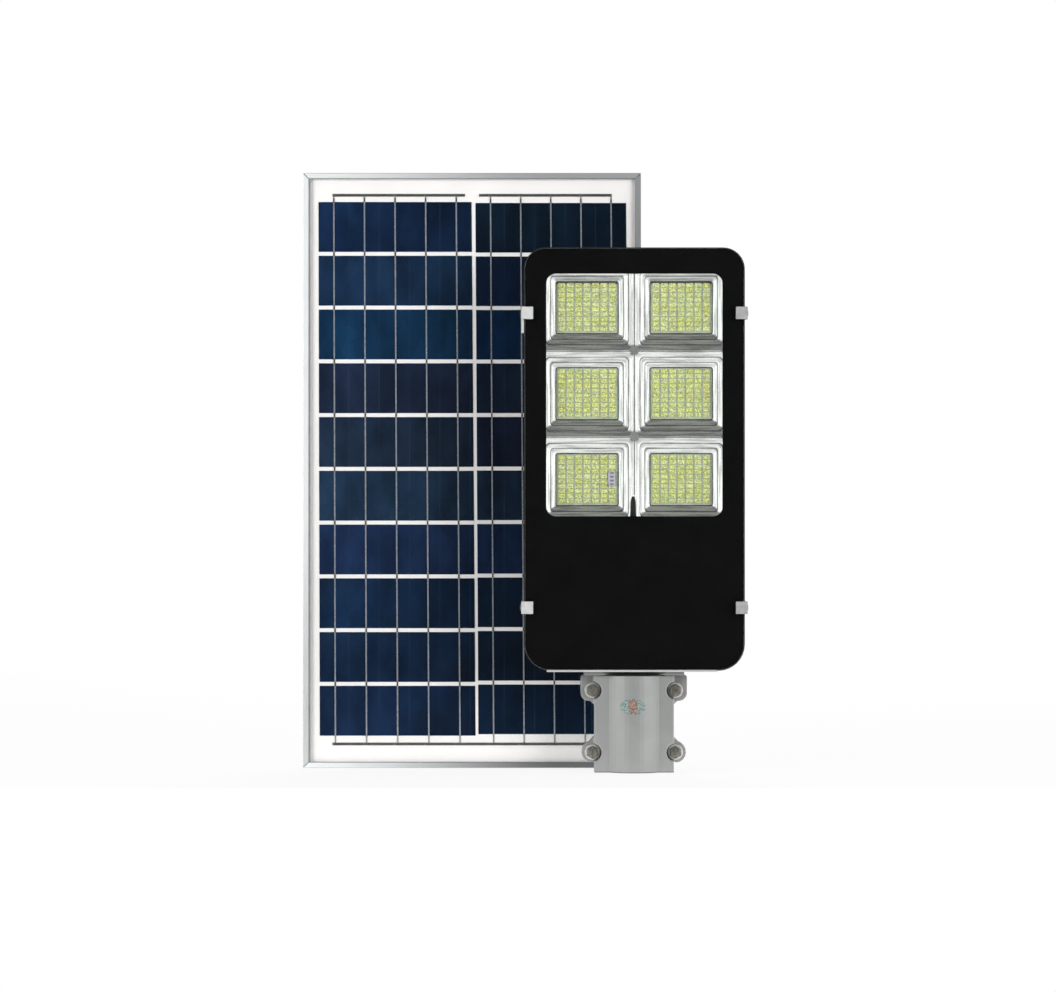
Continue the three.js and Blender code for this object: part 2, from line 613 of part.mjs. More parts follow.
function addLampHead() {
  add(lamp, 'lamp_housing', housing(), greyCasting);
  const { inset, width, front } = GASKET;
  const gasket = cut(
    plate(lampOutline(-inset), front, HOUSING.front - 2 * HAIR),
    plate(lampOutline(-inset - width), front - 1, HOUSING.front + 1),
  );
  add(lamp, 'glass_gasket', gasket, rubber);
  add(lamp, 'lamp_glass', plate(lampOutline(0), 0, GLASS.thick, 8), clearGlass);
  const windowShape = roundedRect(WINDOW.halfWidth, WINDOW.bottom, WINDOW.top, WINDOW.radius);
  const printed = plate(lampOutline(-PRINT.inset), PRINT.front, PRINT.back, 8);
  const mask = cut(printed, plate(windowShape, PRINT.front - 1, PRINT.back + 1));
  add(lamp, 'glass_black_print', mask, blackPrint);
  add(lamp, 'reflector', reflector(), silverPlate);
  moduleCentres().forEach((centre, i) => {
    add(lamp, `led_board_${i + 1}`, ledBoard(centre), boardWhite);
  });
  const terminalBack = BOARD.front - 2 * HAIR;
  const terminal = block(
    [TERMINAL.left, TERMINAL.left + TERMINAL.width], [terminalBack - TERMINAL.depth, terminalBack],
    [TERMINAL.bottom, TERMINAL.bottom + TERMINAL.height],
  );
  add(lamp, 'wire_terminal', terminal, lilacPlastic);
  add(lamp, 'ir_receiver', receiver(), blackPlastic);
  add(lamp, 'battery_pack', batteryPack(), shrinkWrap);
  add(lamp, 'controller_board', controllerBoard(), circuitGreen);
  const glandFace = BULGE.back + GLAND.seal;
  const glandSolid = gland(
    'y', BULGE.back - BULGE.wall - 3.5, glandFace, glandFace + LAMP_GLAND.length,
    [LAMP_GLAND.x, LAMP_GLAND.z],
  );
  add(lamp, 'lamp_cable_gland', glandSolid, blackPlastic);
}

// ---------------------------------------------------------------- arm clamp

/** Outline of the clamp halves in X and Z: square lugs at the top, round lugs below. */
function clampOutline() {
  const { length, halfBody } = SOCKET;
  const shape = new THREE.Shape();
  const lugFoot = length - LUG.topHeight;
  const { corner, fillet, chamfer } = LUG;
  const cornerX = LUG.halfTop - corner;
  shape.moveTo(-halfBody, 0);
  shape.lineTo(halfBody, 0);
  shape.lineTo(halfBody, BOLT.lowZ - LUG_ROOT.below);
  shape.absarc(BOLT.x, BOLT.lowZ, LUG.radius, -0.45 * Math.PI, 0.4 * Math.PI, false);
  shape.lineTo(halfBody, BOLT.lowZ + LUG_ROOT.above);
  shape.lineTo(halfBody, lugFoot - fillet);
  shape.lineTo(halfBody + fillet, lugFoot);
  shape.lineTo(cornerX, lugFoot);
  shape.absarc(cornerX, lugFoot + corner, corner, -Math.PI / 2, 0, false);
  shape.lineTo(LUG.halfTop, length - chamfer);
  shape.lineTo(LUG.halfTop - chamfer, length);
  const right = shape.getPoints(4);
  const left = right.slice(1).reverse().map((point) => new THREE.Vector2(-point.x, point.y));
  return new THREE.Shape([...right.slice(1), ...left]);
}

const boltPlaces = [-1, 1].flatMap((side) => [
  [side * BOLT.x, BOLT.highZ],
  [side * BOLT.x, BOLT.lowZ],
]);

function boltHoles() {
  return boltPlaces.map((place) => rod('y', BOLT.hole, 0, 80, place));
}

/** The front half of the clamp, which four bolts pull onto the lamp arm. */
function clampCap() {
  const split = SOCKET.y - SOCKET.split;
  const lugFront = SOCKET.y - LUG.thick;
  const body = join(
    plate(clampOutline(), lugFront, split),
    block([-SOCKET.halfBody, SOCKET.halfBody], [SOCKET.y - SHOULDER.front, split], [0, SOCKET.length]),
    rod('z', SOCKET.outer, 0, SOCKET.length, [0, SOCKET.y], 40),
  );
  return cut(
    body,
    block([-80, 80], [split, 90], [-5, 120]),
    rod('z', SOCKET.bore, -2, SOCKET.length + 2, [0, SOCKET.y], 32),
    ...boltHoles(),
    ...boltPlaces.map((place) => rod('y', BOLT.seat, 5, lugFront, place, 20)),
  );
}

/** The rear half of the clamp with the neck plate that is screwed to the housing. */
function armSaddle() {
  const split = SOCKET.y + SOCKET.split;
  const neckTop = GLASS.bottom - HOUSING.grow - 3 * HAIR;
  const neckBottom = neckTop - NECK.thick;
  const neck = block([-NECK.halfWidth, NECK.halfWidth], [NECK.front, NECK.back], [neckBottom, neckTop]);
  const rear = join(
    plate(clampOutline(), split, SOCKET.y + LUG.thick),
    block([-SOCKET.halfBody, SOCKET.halfBody], [split, SOCKET.y + SHOULDER.rear], [0, SOCKET.length]),
    rod('z', SOCKET.outer, 0, SOCKET.length, [0, SOCKET.y], 40),
    block([-SOCKET.halfBody, SOCKET.halfBody], [split, NECK.back - 2], [SOCKET.length - 6, neckTop]),
  );
  const spread = Math.asin(SLIT.half / SLIT.arc);
  const lens = new THREE.Shape();
  const lensCentre = neckBottom - SLIT.arc * Math.cos(spread);
  lens.absarc(0, lensCentre, SLIT.arc, Math.PI / 2 - spread, Math.PI / 2 + spread, false);
  return join(
    cut(
      rear,
      block([-80, 80], [-20, split], [-5, 120]),
      rod('z', SOCKET.bore, -2, SOCKET.length - 3, [0, SOCKET.y], 32),
      ...boltHoles(),
    ),
    cut(
      neck, plate(lens, 0, split, 12),
      rod('z', WIRE_HOLE.radius, neckBottom - 1, neckTop + 1, [0, WIRE_HOLE.y]),
    ),
  );
}

/** Hex bolt with a captive washer. */
function clampBolt([x, z]) {
  const seat = SOCKET.y - LUG.thick - BOLT.play;
  const washerFace = seat - BOLT.washerThick;
  return join(
    rod('y', BOLT.radius, washerFace - 1, BOLT.tip, [x, z]),
    rod('y', BOLT.washer, washerFace, seat, [x, z], 20),
    rod('y', BOLT.head, seat - BOLT.headHeight, washerFace + HAIR, [x, z], 6),
  );
}

function addClamp() {
  add(lamp, 'arm_saddle', armSaddle(), greyCasting);
  add(lamp, 'clamp_cap', clampCap(), greyCasting);
  boltPlaces.forEach((place, i) => add(lamp, `clamp_bolt_${i + 1}`, clampBolt(place), boltSteel));
}

// ---------------------------------------------------------------- glass clips

function glassClip(side, z) {
  const inside = GLASS.halfWidth + HOUSING.grow + CLIP.gap;
  const outside = inside + CLIP.skin;
  const up = [z - CLIP.half, z + CLIP.half];
  const clip = cut(
    join(
      block([CLIP.inner, outside], [-CLIP.lift - CLIP.skin, -CLIP.lift], up),
      block([inside, outside], [-1, CLIP_SCREW.y + CLIP.reach], up),
    ),
    rod('x', CLIP_SCREW.hole, inside - 2, outside + 2, [CLIP_SCREW.y, z], 12),
  );
  return side < 0 ? clip.mirror([1, 0, 0]) : clip;
}

function clipScrew(side, z) {
  const seat = GLASS.halfWidth + HOUSING.grow + CLIP.gap + CLIP.skin + CLIP_SCREW.play;
  const screw = join(
    rod('x', CLIP_SCREW.radius, CLIP_SCREW.tip, seat + 1, [CLIP_SCREW.y, z], 12),
    rod('x', CLIP_SCREW.head, seat, seat + CLIP_SCREW.headHeight, [CLIP_SCREW.y, z], 16),
  );
  return side < 0 ? screw.mirror([1, 0, 0]) : screw;
}

function addClips() {
  const places = [[-1, CLIP.highZ], [1, CLIP.highZ], [-1, CLIP.lowZ], [1, CLIP.lowZ]];
  places.forEach(([side, z], i) => {
    add(lamp, `glass_clip_${i + 1}`, glassClip(side, z), castSilver);
    add(lamp, `clip_screw_${i + 1}`, clipScrew(side, z), boltSteel);
  });
}

// ---------------------------------------------------------------- assembly

addFrame();
addCornerKeys();
addLaminate();
addJunctionBox();
addCrossRails();
addTiltBracket();
addLampHead();
addClamp();
addClips();

export default product;
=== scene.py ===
"""A split solar street lamp: a framed panel on its tilt bracket, and the LED lamp head in front of it.

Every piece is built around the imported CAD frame, in metres, +X right, +Y back, +Z up.
"""

import json
import math
import random

import bmesh
import bpy
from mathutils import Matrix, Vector


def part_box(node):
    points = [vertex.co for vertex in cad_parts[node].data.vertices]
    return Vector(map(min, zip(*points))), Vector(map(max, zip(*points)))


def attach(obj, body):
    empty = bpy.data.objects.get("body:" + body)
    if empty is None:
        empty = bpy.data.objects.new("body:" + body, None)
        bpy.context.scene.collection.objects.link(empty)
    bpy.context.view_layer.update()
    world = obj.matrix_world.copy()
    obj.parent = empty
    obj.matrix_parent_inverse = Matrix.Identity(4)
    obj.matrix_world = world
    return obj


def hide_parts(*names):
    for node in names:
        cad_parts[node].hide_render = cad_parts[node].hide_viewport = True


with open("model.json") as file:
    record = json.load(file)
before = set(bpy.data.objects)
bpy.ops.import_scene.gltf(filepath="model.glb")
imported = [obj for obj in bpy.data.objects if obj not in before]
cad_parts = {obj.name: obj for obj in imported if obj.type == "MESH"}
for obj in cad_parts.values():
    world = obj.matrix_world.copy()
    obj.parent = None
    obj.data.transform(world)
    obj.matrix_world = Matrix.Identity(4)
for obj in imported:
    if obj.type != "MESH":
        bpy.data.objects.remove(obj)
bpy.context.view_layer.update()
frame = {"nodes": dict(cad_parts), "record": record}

MM = 0.001
FORWARD = (0, -1, 0)
BACKWARD = (0, 1, 0)
BODY_OF = {node: body for body, nodes in frame["record"]["behaviour"]["bodies"].items() for node in nodes}
random.seed(11)


# ---- materials

class Shader:
    """Builds the node tree of one material, or of the world."""

    def __init__(self, name, owner=None):
        self.owner = owner or bpy.data.materials.new(name)
        self.owner.use_nodes = True
        self.nodes = self.owner.node_tree.nodes
        self.links = self.owner.node_tree.links
        self.nodes.clear()

    def add(self, kind, inputs=None, out=0, **settings):
        """A node with its inputs set or linked. Returns one of its outputs."""
        node = self.nodes.new("ShaderNode" + kind)
        for key, value in settings.items():
            setattr(node, key, value)
        for key, value in (inputs or {}).items():
            if isinstance(value, bpy.types.NodeSocket):
                self.links.new(value, node.inputs[key])
            else:
                node.inputs[key].default_value = value
        return node.outputs[out]

    def place(self, stretch=(1, 1, 1)):
        """Object coordinates in metres, stretched along the directions where the scale is under 1."""
        return self.add("Mapping", {"Vector": self.add("TexCoord", out="Object"), "Scale": stretch})

    def axis(self, vector, name):
        return self.add("SeparateXYZ", {0: vector}, out=name)

    def noise(self, place, size, detail=3.0):
        return self.add("TexNoise", {"Vector": place, "Scale": 1 / size, "Detail": detail}, out="Fac")

    def crystals(self, place, scale):
        """One value for each crystal."""
        colour = self.add("TexVoronoi", {"Vector": place, "Scale": scale}, out="Color")
        return self.add("SeparateColor", {"Color": colour})

    def spread(self, value, low, high, source=(0.3, 0.7)):
        """A value mapped smoothly from a source range to low and high."""
        return self.add("MapRange", {
            "Value": value, "From Min": source[0], "From Max": source[1], "To Min": low, "To Max": high,
        }, interpolation_type="SMOOTHSTEP")

    def maths(self, operation, first, second=0.0):
        return self.add("Math", {0: first, 1: second}, operation=operation)

    def times(self, first, second):
        return self.maths("MULTIPLY", first, second)

    def mix(self, factor, first, second, mode="MIX"):
        return self.add("Mix", {0: factor, 6: first, 7: second}, out=2, data_type="RGBA", blend_type=mode)

    def scaled(self, tone, level):
        """A tone made darker or lighter by a level."""
        return self.mix(1.0, tone, self.add("CombineColor", {0: level, 1: level, 2: level}), "MULTIPLY")

    def bump(self, height, strength, distance):
        return self.add("Bump", {"Height": height, "Strength": strength, "Distance": distance})

    def solid(self, tone, rough, normal, metal=0.0, specular=0.5):
        """Ends the tree as an opaque surface."""
        return self.close(self.add("BsdfPrincipled", {
            "Base Color": tone, "Roughness": rough, "Metallic": metal, "Specular IOR Level": specular,
            "Normal": normal,
        }))

    def close(self, shader, output="OutputMaterial"):
        end = self.nodes.new("ShaderNode" + output)
        self.links.new(shader, end.inputs["Surface"])
        return self.owner


def shade(colour, factor):
    return (colour[0] * factor, colour[1] * factor, colour[2] * factor, 1.0)


def surface(name, colour, rough, metal=0.0, drift=0.08, patch=0.04, grain=0.0008, relief=0.15, specular=0.5):
    """A solid material: slow drift of its colour, and a fine grain in its gloss and relief."""
    tree = Shader(name)
    place = tree.place()
    slow = tree.noise(place, patch)
    fine = tree.noise(place, grain, 5.0)
    tone = tree.mix(tree.spread(slow, 0, 1), shade(colour, 1 - drift), shade(colour, 1 + drift))
    tone = tree.scaled(tone, tree.spread(fine, 1 - 0.5 * drift, 1 + 0.5 * drift))
    gloss = tree.spread(fine, rough - 0.06, rough + 0.06)
    return tree.solid(tone, gloss, tree.bump(fine, relief, 0.3 * grain), metal, specular)


def anodised(name, stretch, right, low=1.0, dull=0.75):
    """The panel frame's brushed aluminium, with painted light: right sets a painted shade that darkens it
    towards its right end, low makes it darker towards the bottom, and dull sets how dark the painted
    reflection on its slanted edges is. Faces turned sideways get painted shade too.
    """
    tree = Shader(name)
    place = tree.place()
    fine = tree.noise(tree.place(stretch), 0.0005, 5.0)
    # Painted shade: darker towards the right end, as if lit from the left.
    drift = tree.spread(tree.axis(place, "X"), 0, 1, (-0.20, 0.09))
    tone = tree.mix(drift, (0.86, 0.875, 0.88, 1), shade((0.96, 0.99, 1.0), right))
    # Darker towards the bottom, by low.
    tone = tree.scaled(tone, tree.spread(tree.axis(place, "Z"), low, 1.0, (0.02, 0.30)))
    normal = tree.add("NewGeometry", out="Normal")
    tilt = tree.maths("ABSOLUTE", tree.axis(normal, "Z"))
    turn = tree.maths("ABSOLUTE", tree.axis(normal, "X"))
    # Painted shade on faces turned sideways.
    tone = tree.scaled(tone, tree.spread(turn, 1, 0.6, (0.85, 0.98)))
    # Painted reflection: a dark line on slanted edges, as strong as dull sets.
    edge = tree.times(tree.spread(tilt, 0, 1, (0.1, 0.4)), tree.spread(tilt, 1, 0, (0.94, 0.99)))
    tone = tree.mix(tree.times(edge, dull), tone, (0.16, 0.165, 0.17, 1))
    tone = tree.scaled(tone, tree.spread(fine, 0.95, 1.05))
    return tree.solid(tone, tree.spread(fine, 0.38, 0.5), tree.bump(fine, 0.12, 0.0001), 0.25)


def clear_glass(name, tint, texture, relief):
    """A clear sheet: what is behind it shows through, and its surface mirrors by Fresnel's law."""
    tree = Shader(name)
    normal = tree.bump(tree.noise(tree.place(), texture, 2.0), relief, 0.05 * texture)
    gloss = tree.add("BsdfGlossy", {"Color": (1, 1, 1, 1), "Roughness": 0.02, "Normal": normal})
    through = tree.add("BsdfTransparent", {"Color": (*tint, 1)})
    outside = tree.maths("SUBTRACT", 1.0, tree.add("NewGeometry", out="Backfacing"))
    mirror = tree.times(tree.add("Fresnel", {"IOR": 1.5}), outside)
    return tree.close(tree.add("MixShader", {0: mirror, 1: through, 2: gloss}))


def cell_silicon():
    """Polycrystalline silicon: a tone for each cell, crystal grains, fine contact fingers, faint painted
    highlight streaks, and painted light that makes the cells lighter at the left and darker at the right.
    """
    tree = Shader("cell_silicon")
    tone = tree.add("Attribute", attribute_name="tone", out="Color")
    place = tree.place()
    grain = tree.crystals(tree.place((1, 1, 0.6)), 90.0)
    cloud = tree.noise(tree.place((1, 1, 0.5)), 0.035, 5.0)
    level = tree.times(tree.spread(grain, 0.93, 1.08, (0, 1)), tree.spread(cloud, 0.72, 1.38))
    # Painted light: lighter towards the left, darker towards the right.
    level = tree.times(level, tree.spread(tree.axis(place, "X"), 1.45, 0.62, (-0.18, 0.06)))
    tone = tree.scaled(tone, level)

    across = tree.add("Attribute", attribute_name="across", out="Fac")
    # Painted highlight: faint light streaks midway between the ribbon lanes.
    streak_highlight = tree.spread(tree.maths("PINGPONG", across, 0.5), 1, 0, (0.0, 0.035))
    streak_highlight = tree.times(streak_highlight, tree.spread(tree.noise(tree.place((6, 1, 0.4)), 0.03), 0.1, 0.9))
    tone = tree.mix(tree.times(streak_highlight, 0.14), tone, (0.07, 0.13, 0.19, 1))

    pitch = 1.9 * MM
    finger = tree.maths("PINGPONG", tree.times(tree.axis(place, "Z"), 1 / pitch), 0.5)
    share = tree.times(tree.spread(finger, 1, 0, (0.0, 0.06)), 0.05)
    tone = tree.mix(share, tone, (0.3, 0.34, 0.38, 1))
    relief = tree.bump(tree.noise(place, 0.0015), 0.1, 0.0001)
    return tree.solid(tone, tree.spread(grain, 0.4, 0.5, (0, 1)), relief, specular=0.05)


def toned(name, rough, metal=0.0, grain=0.0009, drift=0.12, relief=0.3, specular=0.5):
    """A material whose colour comes from each shell's own tone, with a fine mottle."""
    tree = Shader(name)
    fine = tree.noise(tree.place(), grain, 4.0)
    tone = tree.add("Attribute", attribute_name="tone", out="Color")
    tone = tree.scaled(tone, tree.spread(fine, 1 - drift, 1 + drift))
    gloss = tree.spread(fine, rough - 0.05, rough + 0.08)
    return tree.solid(tone, gloss, tree.bump(fine, relief, 0.3 * grain), metal, specular)


def stamped(name, colour, rough):
    """Aluminised sheet with drawing lines that follow its steps, and painted shade on its downward faces
    under the upper rim of its top wells.
    """
    tree = Shader(name)
    place = tree.place()
    lines = tree.noise(tree.place((0.03, 1, 0.03)), 0.0011, 3.0)
    fine = tree.noise(place, 0.0010, 4.0)
    slope = tree.axis(tree.add("NewGeometry", out="Normal"), "Z")
    height = tree.axis(place, "Z")
    # Painted shade: downward faces in a band under the upper rim of the top wells are darkened.
    hangs = tree.spread(slope, 0.5, 0.0, (-0.5, -0.2))
    rim = tree.times(tree.spread(height, 0, 1, (0.4990, 0.5010)), tree.spread(height, 1, 0, (0.5055, 0.5070)))
    level = tree.spread(lines, 0.72, 1.16, (0.36, 0.60))
    level = tree.times(level, tree.maths("SUBTRACT", 1.0, tree.times(hangs, rim)))
    level = tree.times(level, tree.spread(fine, 0.97, 1.03))
    tone = tree.scaled((*colour, 1), level)
    return tree.solid(tone, tree.spread(fine, rough - 0.04, rough + 0.04), tree.bump(fine, 0.08, 0.0003), 1.0)


def foundry_grey(name, colour, rough):
    """The clamp's casting: fine grain, slow drift, and painted shade along its foot."""
    tree = Shader(name)
    place = tree.place()
    slow = tree.noise(place, 0.02)
    fine = tree.noise(place, 0.0009, 5.0)
    # Painted shade: the lowest millimetres of the casting are darkened.
    foot = tree.spread(tree.axis(place, "Z"), 0.3, 1.0, (0.0004, 0.0014))
    level = tree.times(tree.spread(slow, 0.97, 1.03), foot)
    tone = tree.scaled((*colour, 1), tree.times(level, tree.spread(fine, 0.98, 1.02)))
    return tree.solid(tone, tree.spread(fine, rough - 0.05, rough + 0.05), tree.bump(fine, 0.3, 0.0003), 0.25)


def galvanised(name, colour, rough):
    """Zinc-plated steel: a soft pattern of crystals in its tone and gloss."""
    tree = Shader(name)
    place = tree.place()
    crystal = tree.crystals(place, 160.0)
    tone = tree.mix(crystal, shade(colour, 0.86), shade(colour, 1.1))
    gloss = tree.spread(crystal, rough - 0.08, rough + 0.1, (0, 1))
    return tree.solid(tone, gloss, tree.bump(tree.noise(place, 0.0007, 4.0), 0.12, 0.0002), 0.85)


ALONG_Z = (1, 1, 0.02)
ALONG_X = (0.02, 1, 1)

looks = {
    "frame": anodised("frame_upright", ALONG_Z, 0.31, 0.70),
    "panel_glass": clear_glass("panel_glass_sheet", (0.99, 0.985, 0.98), 0.0012, 0.03),
    "backsheet": surface("backsheet_film", (0.92, 0.915, 0.92), 0.55, 0, 0.02, 0.06, 0.0010, 0.2),
    "cells": cell_silicon(),
    "ribbon": toned("tinned_ribbon", 0.38, 0.55, 0.0011, 0.3),
    "black_plastic": surface("moulded_black", (0.018, 0.018, 0.019), 0.48, 0, 0.12, 0.03, 0.0005, 0.5),
    "terminal": surface("terminal_green", (0.03, 0.13, 0.07), 0.5),
    "zinc_steel": galvanised("zinc_plate", (0.56, 0.57, 0.58), 0.42),
    "rubber": surface("black_rubber", (0.016, 0.016, 0.016), 0.8, 0, 0.2, 0.01, 0.0006, 0.5),
    "grey_casting": surface("cast_grey", (0.292, 0.296, 0.292), 0.46, 0.1, 0.03, 0.02, 0.0009, 0.3),
    "lamp_glass": clear_glass("lamp_glass_sheet", (0.983, 0.986, 0.984), 0.02, 0.0),
    "black_print": surface(
        "black_enamel", (0.0052, 0.0052, 0.0054), 0.7, 0, 0.12, 0.03, 0.0006, 0.05, specular=0.0),
    "silver_plate": stamped("aluminised", (0.86, 0.865, 0.86), 0.2),
    "led_board": surface("board_mask", (0.42, 0.47, 0.38), 0.5, 0, 0.12, 0.01, 0.0006, 0.2),
    "led_phosphor": toned("phosphor", 0.55, 0, 0.0013, 0.45, 0.4, 0.3),
    "lilac_plastic": surface("lilac_block", (0.47, 0.45, 0.54), 0.5),
    "shrink_wrap": surface("blue_wrap", (0.02, 0.08, 0.32), 0.35),
    "circuit": surface("board_green", (0.02, 0.13, 0.05), 0.45),
    "clip_metal": surface("clip_cast", (0.58, 0.58, 0.58), 0.45, 0.15, 0.07, 0.005, 0.0009, 0.6),
    "bolt_steel": surface("bolt_plated", (0.185, 0.175, 0.15), 0.36, 0.5, 0.32, 0.0025, 0.0009, 0.8),
}
# The top rail, the cross rails and the bottom rail each get their own painted shade, darkest on the bottom
# rail.
frame_level = anodised("frame_level", ALONG_X, 0.375)
frame_base = anodised("frame_base", ALONG_X, 0.155, dull=0.5)
clamp_cast = foundry_grey("clamp_casting", (0.33, 0.335, 0.33), 0.36)
washer_steel = surface("washer_plated", (0.78, 0.78, 0.77), 0.3, 0.35, 0.06, 0.004, 0.0006, 0.2)
# A lighter grey than the housing for the trim under the glass: painted light.
trim_light = surface("trim_lit_grey", (0.52, 0.53, 0.52), 0.5, 0.1, 0.05, 0.01, 0.0008, 0.3)
seal_grey = surface("grey_sealant", (0.24, 0.25, 0.255), 0.7, 0, 0.08, 0.01, 0.0006, 0.3)
# A dark ring round each board's opening: painted shadow.
shadow_line = surface("painted_shadow_line", (0.10, 0.105, 0.095), 0.8, 0, 0.2, 0.01, 0.0006, 0.4)
socket_dark = surface("socket_shadow", (0.02, 0.02, 0.02), 0.6, 0, 0.2, 0.003, 0.0005, 0.2)
# A darker copy of the lilac plastic for the plug's contact slots: painted shade.
lilac_shade = surface("lilac_recess", (0.20, 0.19, 0.24), 0.6)
pad_tin = surface("solder_pad", (0.44, 0.52, 0.42), 0.45, 0.2, 0.15, 0.002, 0.0005, 0.4)
# A darker copy of the clips' metal for the clips on the right: painted shade.
clip_shaded = surface("clip_cast_shaded", (0.37, 0.37, 0.37), 0.5, 0.15, 0.10, 0.005, 0.0009, 0.6)
# Painted shade in the dark strip on the middle ridge, and painted reflection in the grey of the flat
# crossings.
ridge_line = surface("ridge_shade_line", (0.13, 0.135, 0.13), 0.5, 0.2, 0.1, 0.01, 0.0008, 0.2)
ridge_pad = surface("ridge_crossing", (0.27, 0.285, 0.26), 0.45, 0.3, 0.1, 0.01, 0.0008, 0.2)
printed_foil = toned("foil_label", 0.35, 0.1, 0.0014, 0.5, 0.3)


# ---- meshes

def mm(*pairs):
    """Pairs of millimetres, in metres."""
    return [(first * MM, second * MM) for first, second in pairs]


def loft(rings, closed=False):
    """Joins rings of equal length. Its ends are capped, or its last ring meets its first one."""
    count = len(rings[0])
    points = [point for ring in rings for point in ring]
    faces = []
    last = len(rings) if closed else len(rings) - 1
    for i in range(last):
        near = i * count
        far = (i + 1) % len(rings) * count
        for k in range(count):
            step = (k + 1) % count
            faces.append((near + k, near + step, far + step, far + k))
    if not closed:
        faces.append(tuple(range(count)))
        faces.append(tuple(range(near + count, near + 2 * count)))
    return points, faces


def rounded(half_x, half_z, radii, corner=6):
    """Points round a rectangle with rounded corners, from the bottom right one, anticlockwise."""
    radii = radii if isinstance(radii, tuple) else (radii,) * 4
    points = []
    for k, (side_x, side_z) in enumerate(((1, -1), (1, 1), (-1, 1), (-1, -1))):
        radius = radii[k]
        for i in range(corner + 1):
            angle = math.pi / 2 * (k - 1 + i / corner)
            points.append((
                side_x * (half_x - radius) + radius * math.cos(angle),
                side_z * (half_z - radius) + radius * math.sin(angle),
            ))
    return points


def facing(points, centre, y):
    """Flat points drawn in X and Z, set round a centre at one depth."""
    return [(centre[0] + x, y, centre[1] + z) for x, z in points]


def outline(half, centre, y, radii, corner=6, shrink=0.0):
    """A rounded rectangle at one depth, from half its size. shrink makes it smaller all round."""
    return facing(rounded(half[0] - shrink, half[1] - shrink, radii, corner), centre, y)


def plan(low, high):
    """Half the size of a box, and its centre, in X and Z."""
    half = ((high[0] - low[0]) / 2, (high[2] - low[2]) / 2)
    return half, ((high[0] + low[0]) / 2, (high[2] + low[2]) / 2)


def slab(low, high, chamfer):
    """A box with chamfered edges round its front."""
    half, centre = plan(low, high)
    return loft([
        outline(half, centre, low[1], chamfer, 1, chamfer),
        outline(half, centre, low[1] + chamfer, chamfer, 1), outline(half, centre, high[1], chamfer, 1),
    ])


def slab_back(low, high, chamfer):
    """A box with chamfered edges round its back."""
    half, centre = plan(low, high)
    return loft([
        outline(half, centre, low[1], chamfer, 2), outline(half, centre, high[1] - chamfer, chamfer, 2),
        outline(half, centre, high[1], 0.3 * chamfer, 2, chamfer),
    ])


def block(low, high, low_by, high_by, chamfer, make=slab):
    """A box between two corners, each moved by some millimetres. Its chamfer is in millimetres too."""
    corners = [[c + by * MM for c, by in zip(*pair)] for pair in ((low, low_by), (high, high_by))]
    return make(*corners, chamfer * MM)


def circle(count):
    return [2 * math.pi * i / count for i in range(count)]


def directions(along):
    """A unit axis, and two unit directions across it."""
    along = Vector(along).normalized()
    across = Vector((0, 0, 1)) if abs(along.z) < 0.5 else along.orthogonal().normalized()
    return along, across, along.cross(across)


def turned(profile, origin, along, sides=32, limit=None, closed=False):
    """A solid of revolution: (radius, distance) pairs along an axis. A limit may vary the radius."""
    along, across, upward = directions(along)
    rings = []
    for radius, distance in profile:
        ring = []
        for angle in circle(sides):
            reach = limit(radius, angle) if limit else radius
            offset = across * math.cos(angle) + upward * math.sin(angle)
            ring.append(tuple(Vector(origin) + along * distance + offset * reach))
        rings.append(ring)
    return loft(rings, closed)


def hexagon(flat):
    """Limits a radius to a hexagon, given half its width across flats."""
    def limit(radius, angle):
        return min(radius, flat / math.cos((angle % (math.pi / 3)) - math.pi / 6))
    return limit


def dress(mesh, look, sharp=None):
    """One material, and smooth shading that breaks at edges sharper than an angle."""
    mesh.materials.clear()
    mesh.materials.append(look)
    mesh.polygons.foreach_set("use_smooth", [True] * len(mesh.polygons))
    if sharp:
        mesh.set_sharp_from_angle(angle=math.radians(sharp))


def put(name, data):
    made = bpy.data.objects.new(name, data)
    bpy.context.scene.collection.objects.link(made)
    return made


def piece(name, shells, slot, body, replaces=(), look=None, sharp=35, tones=None):
    """A new object from closed shells. tones gives each shell a colour of its own."""
    mesh = bpy.data.meshes.new(name)
    build = bmesh.new()
    shell_of = build.faces.layers.int.new("shell")
    for number, (points, faces) in enumerate(shells):
        corners = [build.verts.new(point) for point in points]
        for face in faces:
            made = build.faces.new([corners[i] for i in face])
            made[shell_of] = number
    bmesh.ops.recalc_face_normals(build, faces=build.faces)
    build.to_mesh(mesh)
    numbers = [face[shell_of] for face in build.faces]
    build.free()
    if tones:
        colours = mesh.color_attributes.new("tone", "FLOAT_COLOR", "CORNER")
        for face, number in zip(mesh.polygons, numbers):
            for loop in face.loop_indices:
                colours.data[loop].color = (*tones[number], 1)
    dress(mesh, look or looks[slot], sharp)
    made = put(name, mesh)
    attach(made, body)
    if replaces:
        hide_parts(*replaces)
    return made


def modify(made, kind, **settings):
    modifier = made.modifiers.new(kind.lower(), kind)
    for key, value in settings.items():
        setattr(modifier, key, value)


def weld(made):
    """Joins the corners that a CAD mesh holds once for each face."""
    modify(made, "WELD", merge_threshold=0.005 * MM)


def refine(node, slot, bevel=0.4, look=None, segments=2):
    """Keeps a CAD node: its edges are rounded by a bevel in millimetres, and it gets its material."""
    made = frame["nodes"][node]
    mesh = made.data
    if "custom_normal" in mesh.attributes:
        mesh.attributes.remove(mesh.attributes["custom_normal"])
    dress(mesh, look or looks[slot])
    weld(made)
    modify(made, "DECIMATE", decimate_type="DISSOLVE", angle_limit=math.radians(1))
    if bevel:
        modify(made, "BEVEL", width=bevel * MM, segments=segments, limit_method="ANGLE",
               angle_limit=math.radians(35))
    modify(made, "WEIGHTED_NORMAL", keep_sharp=False)


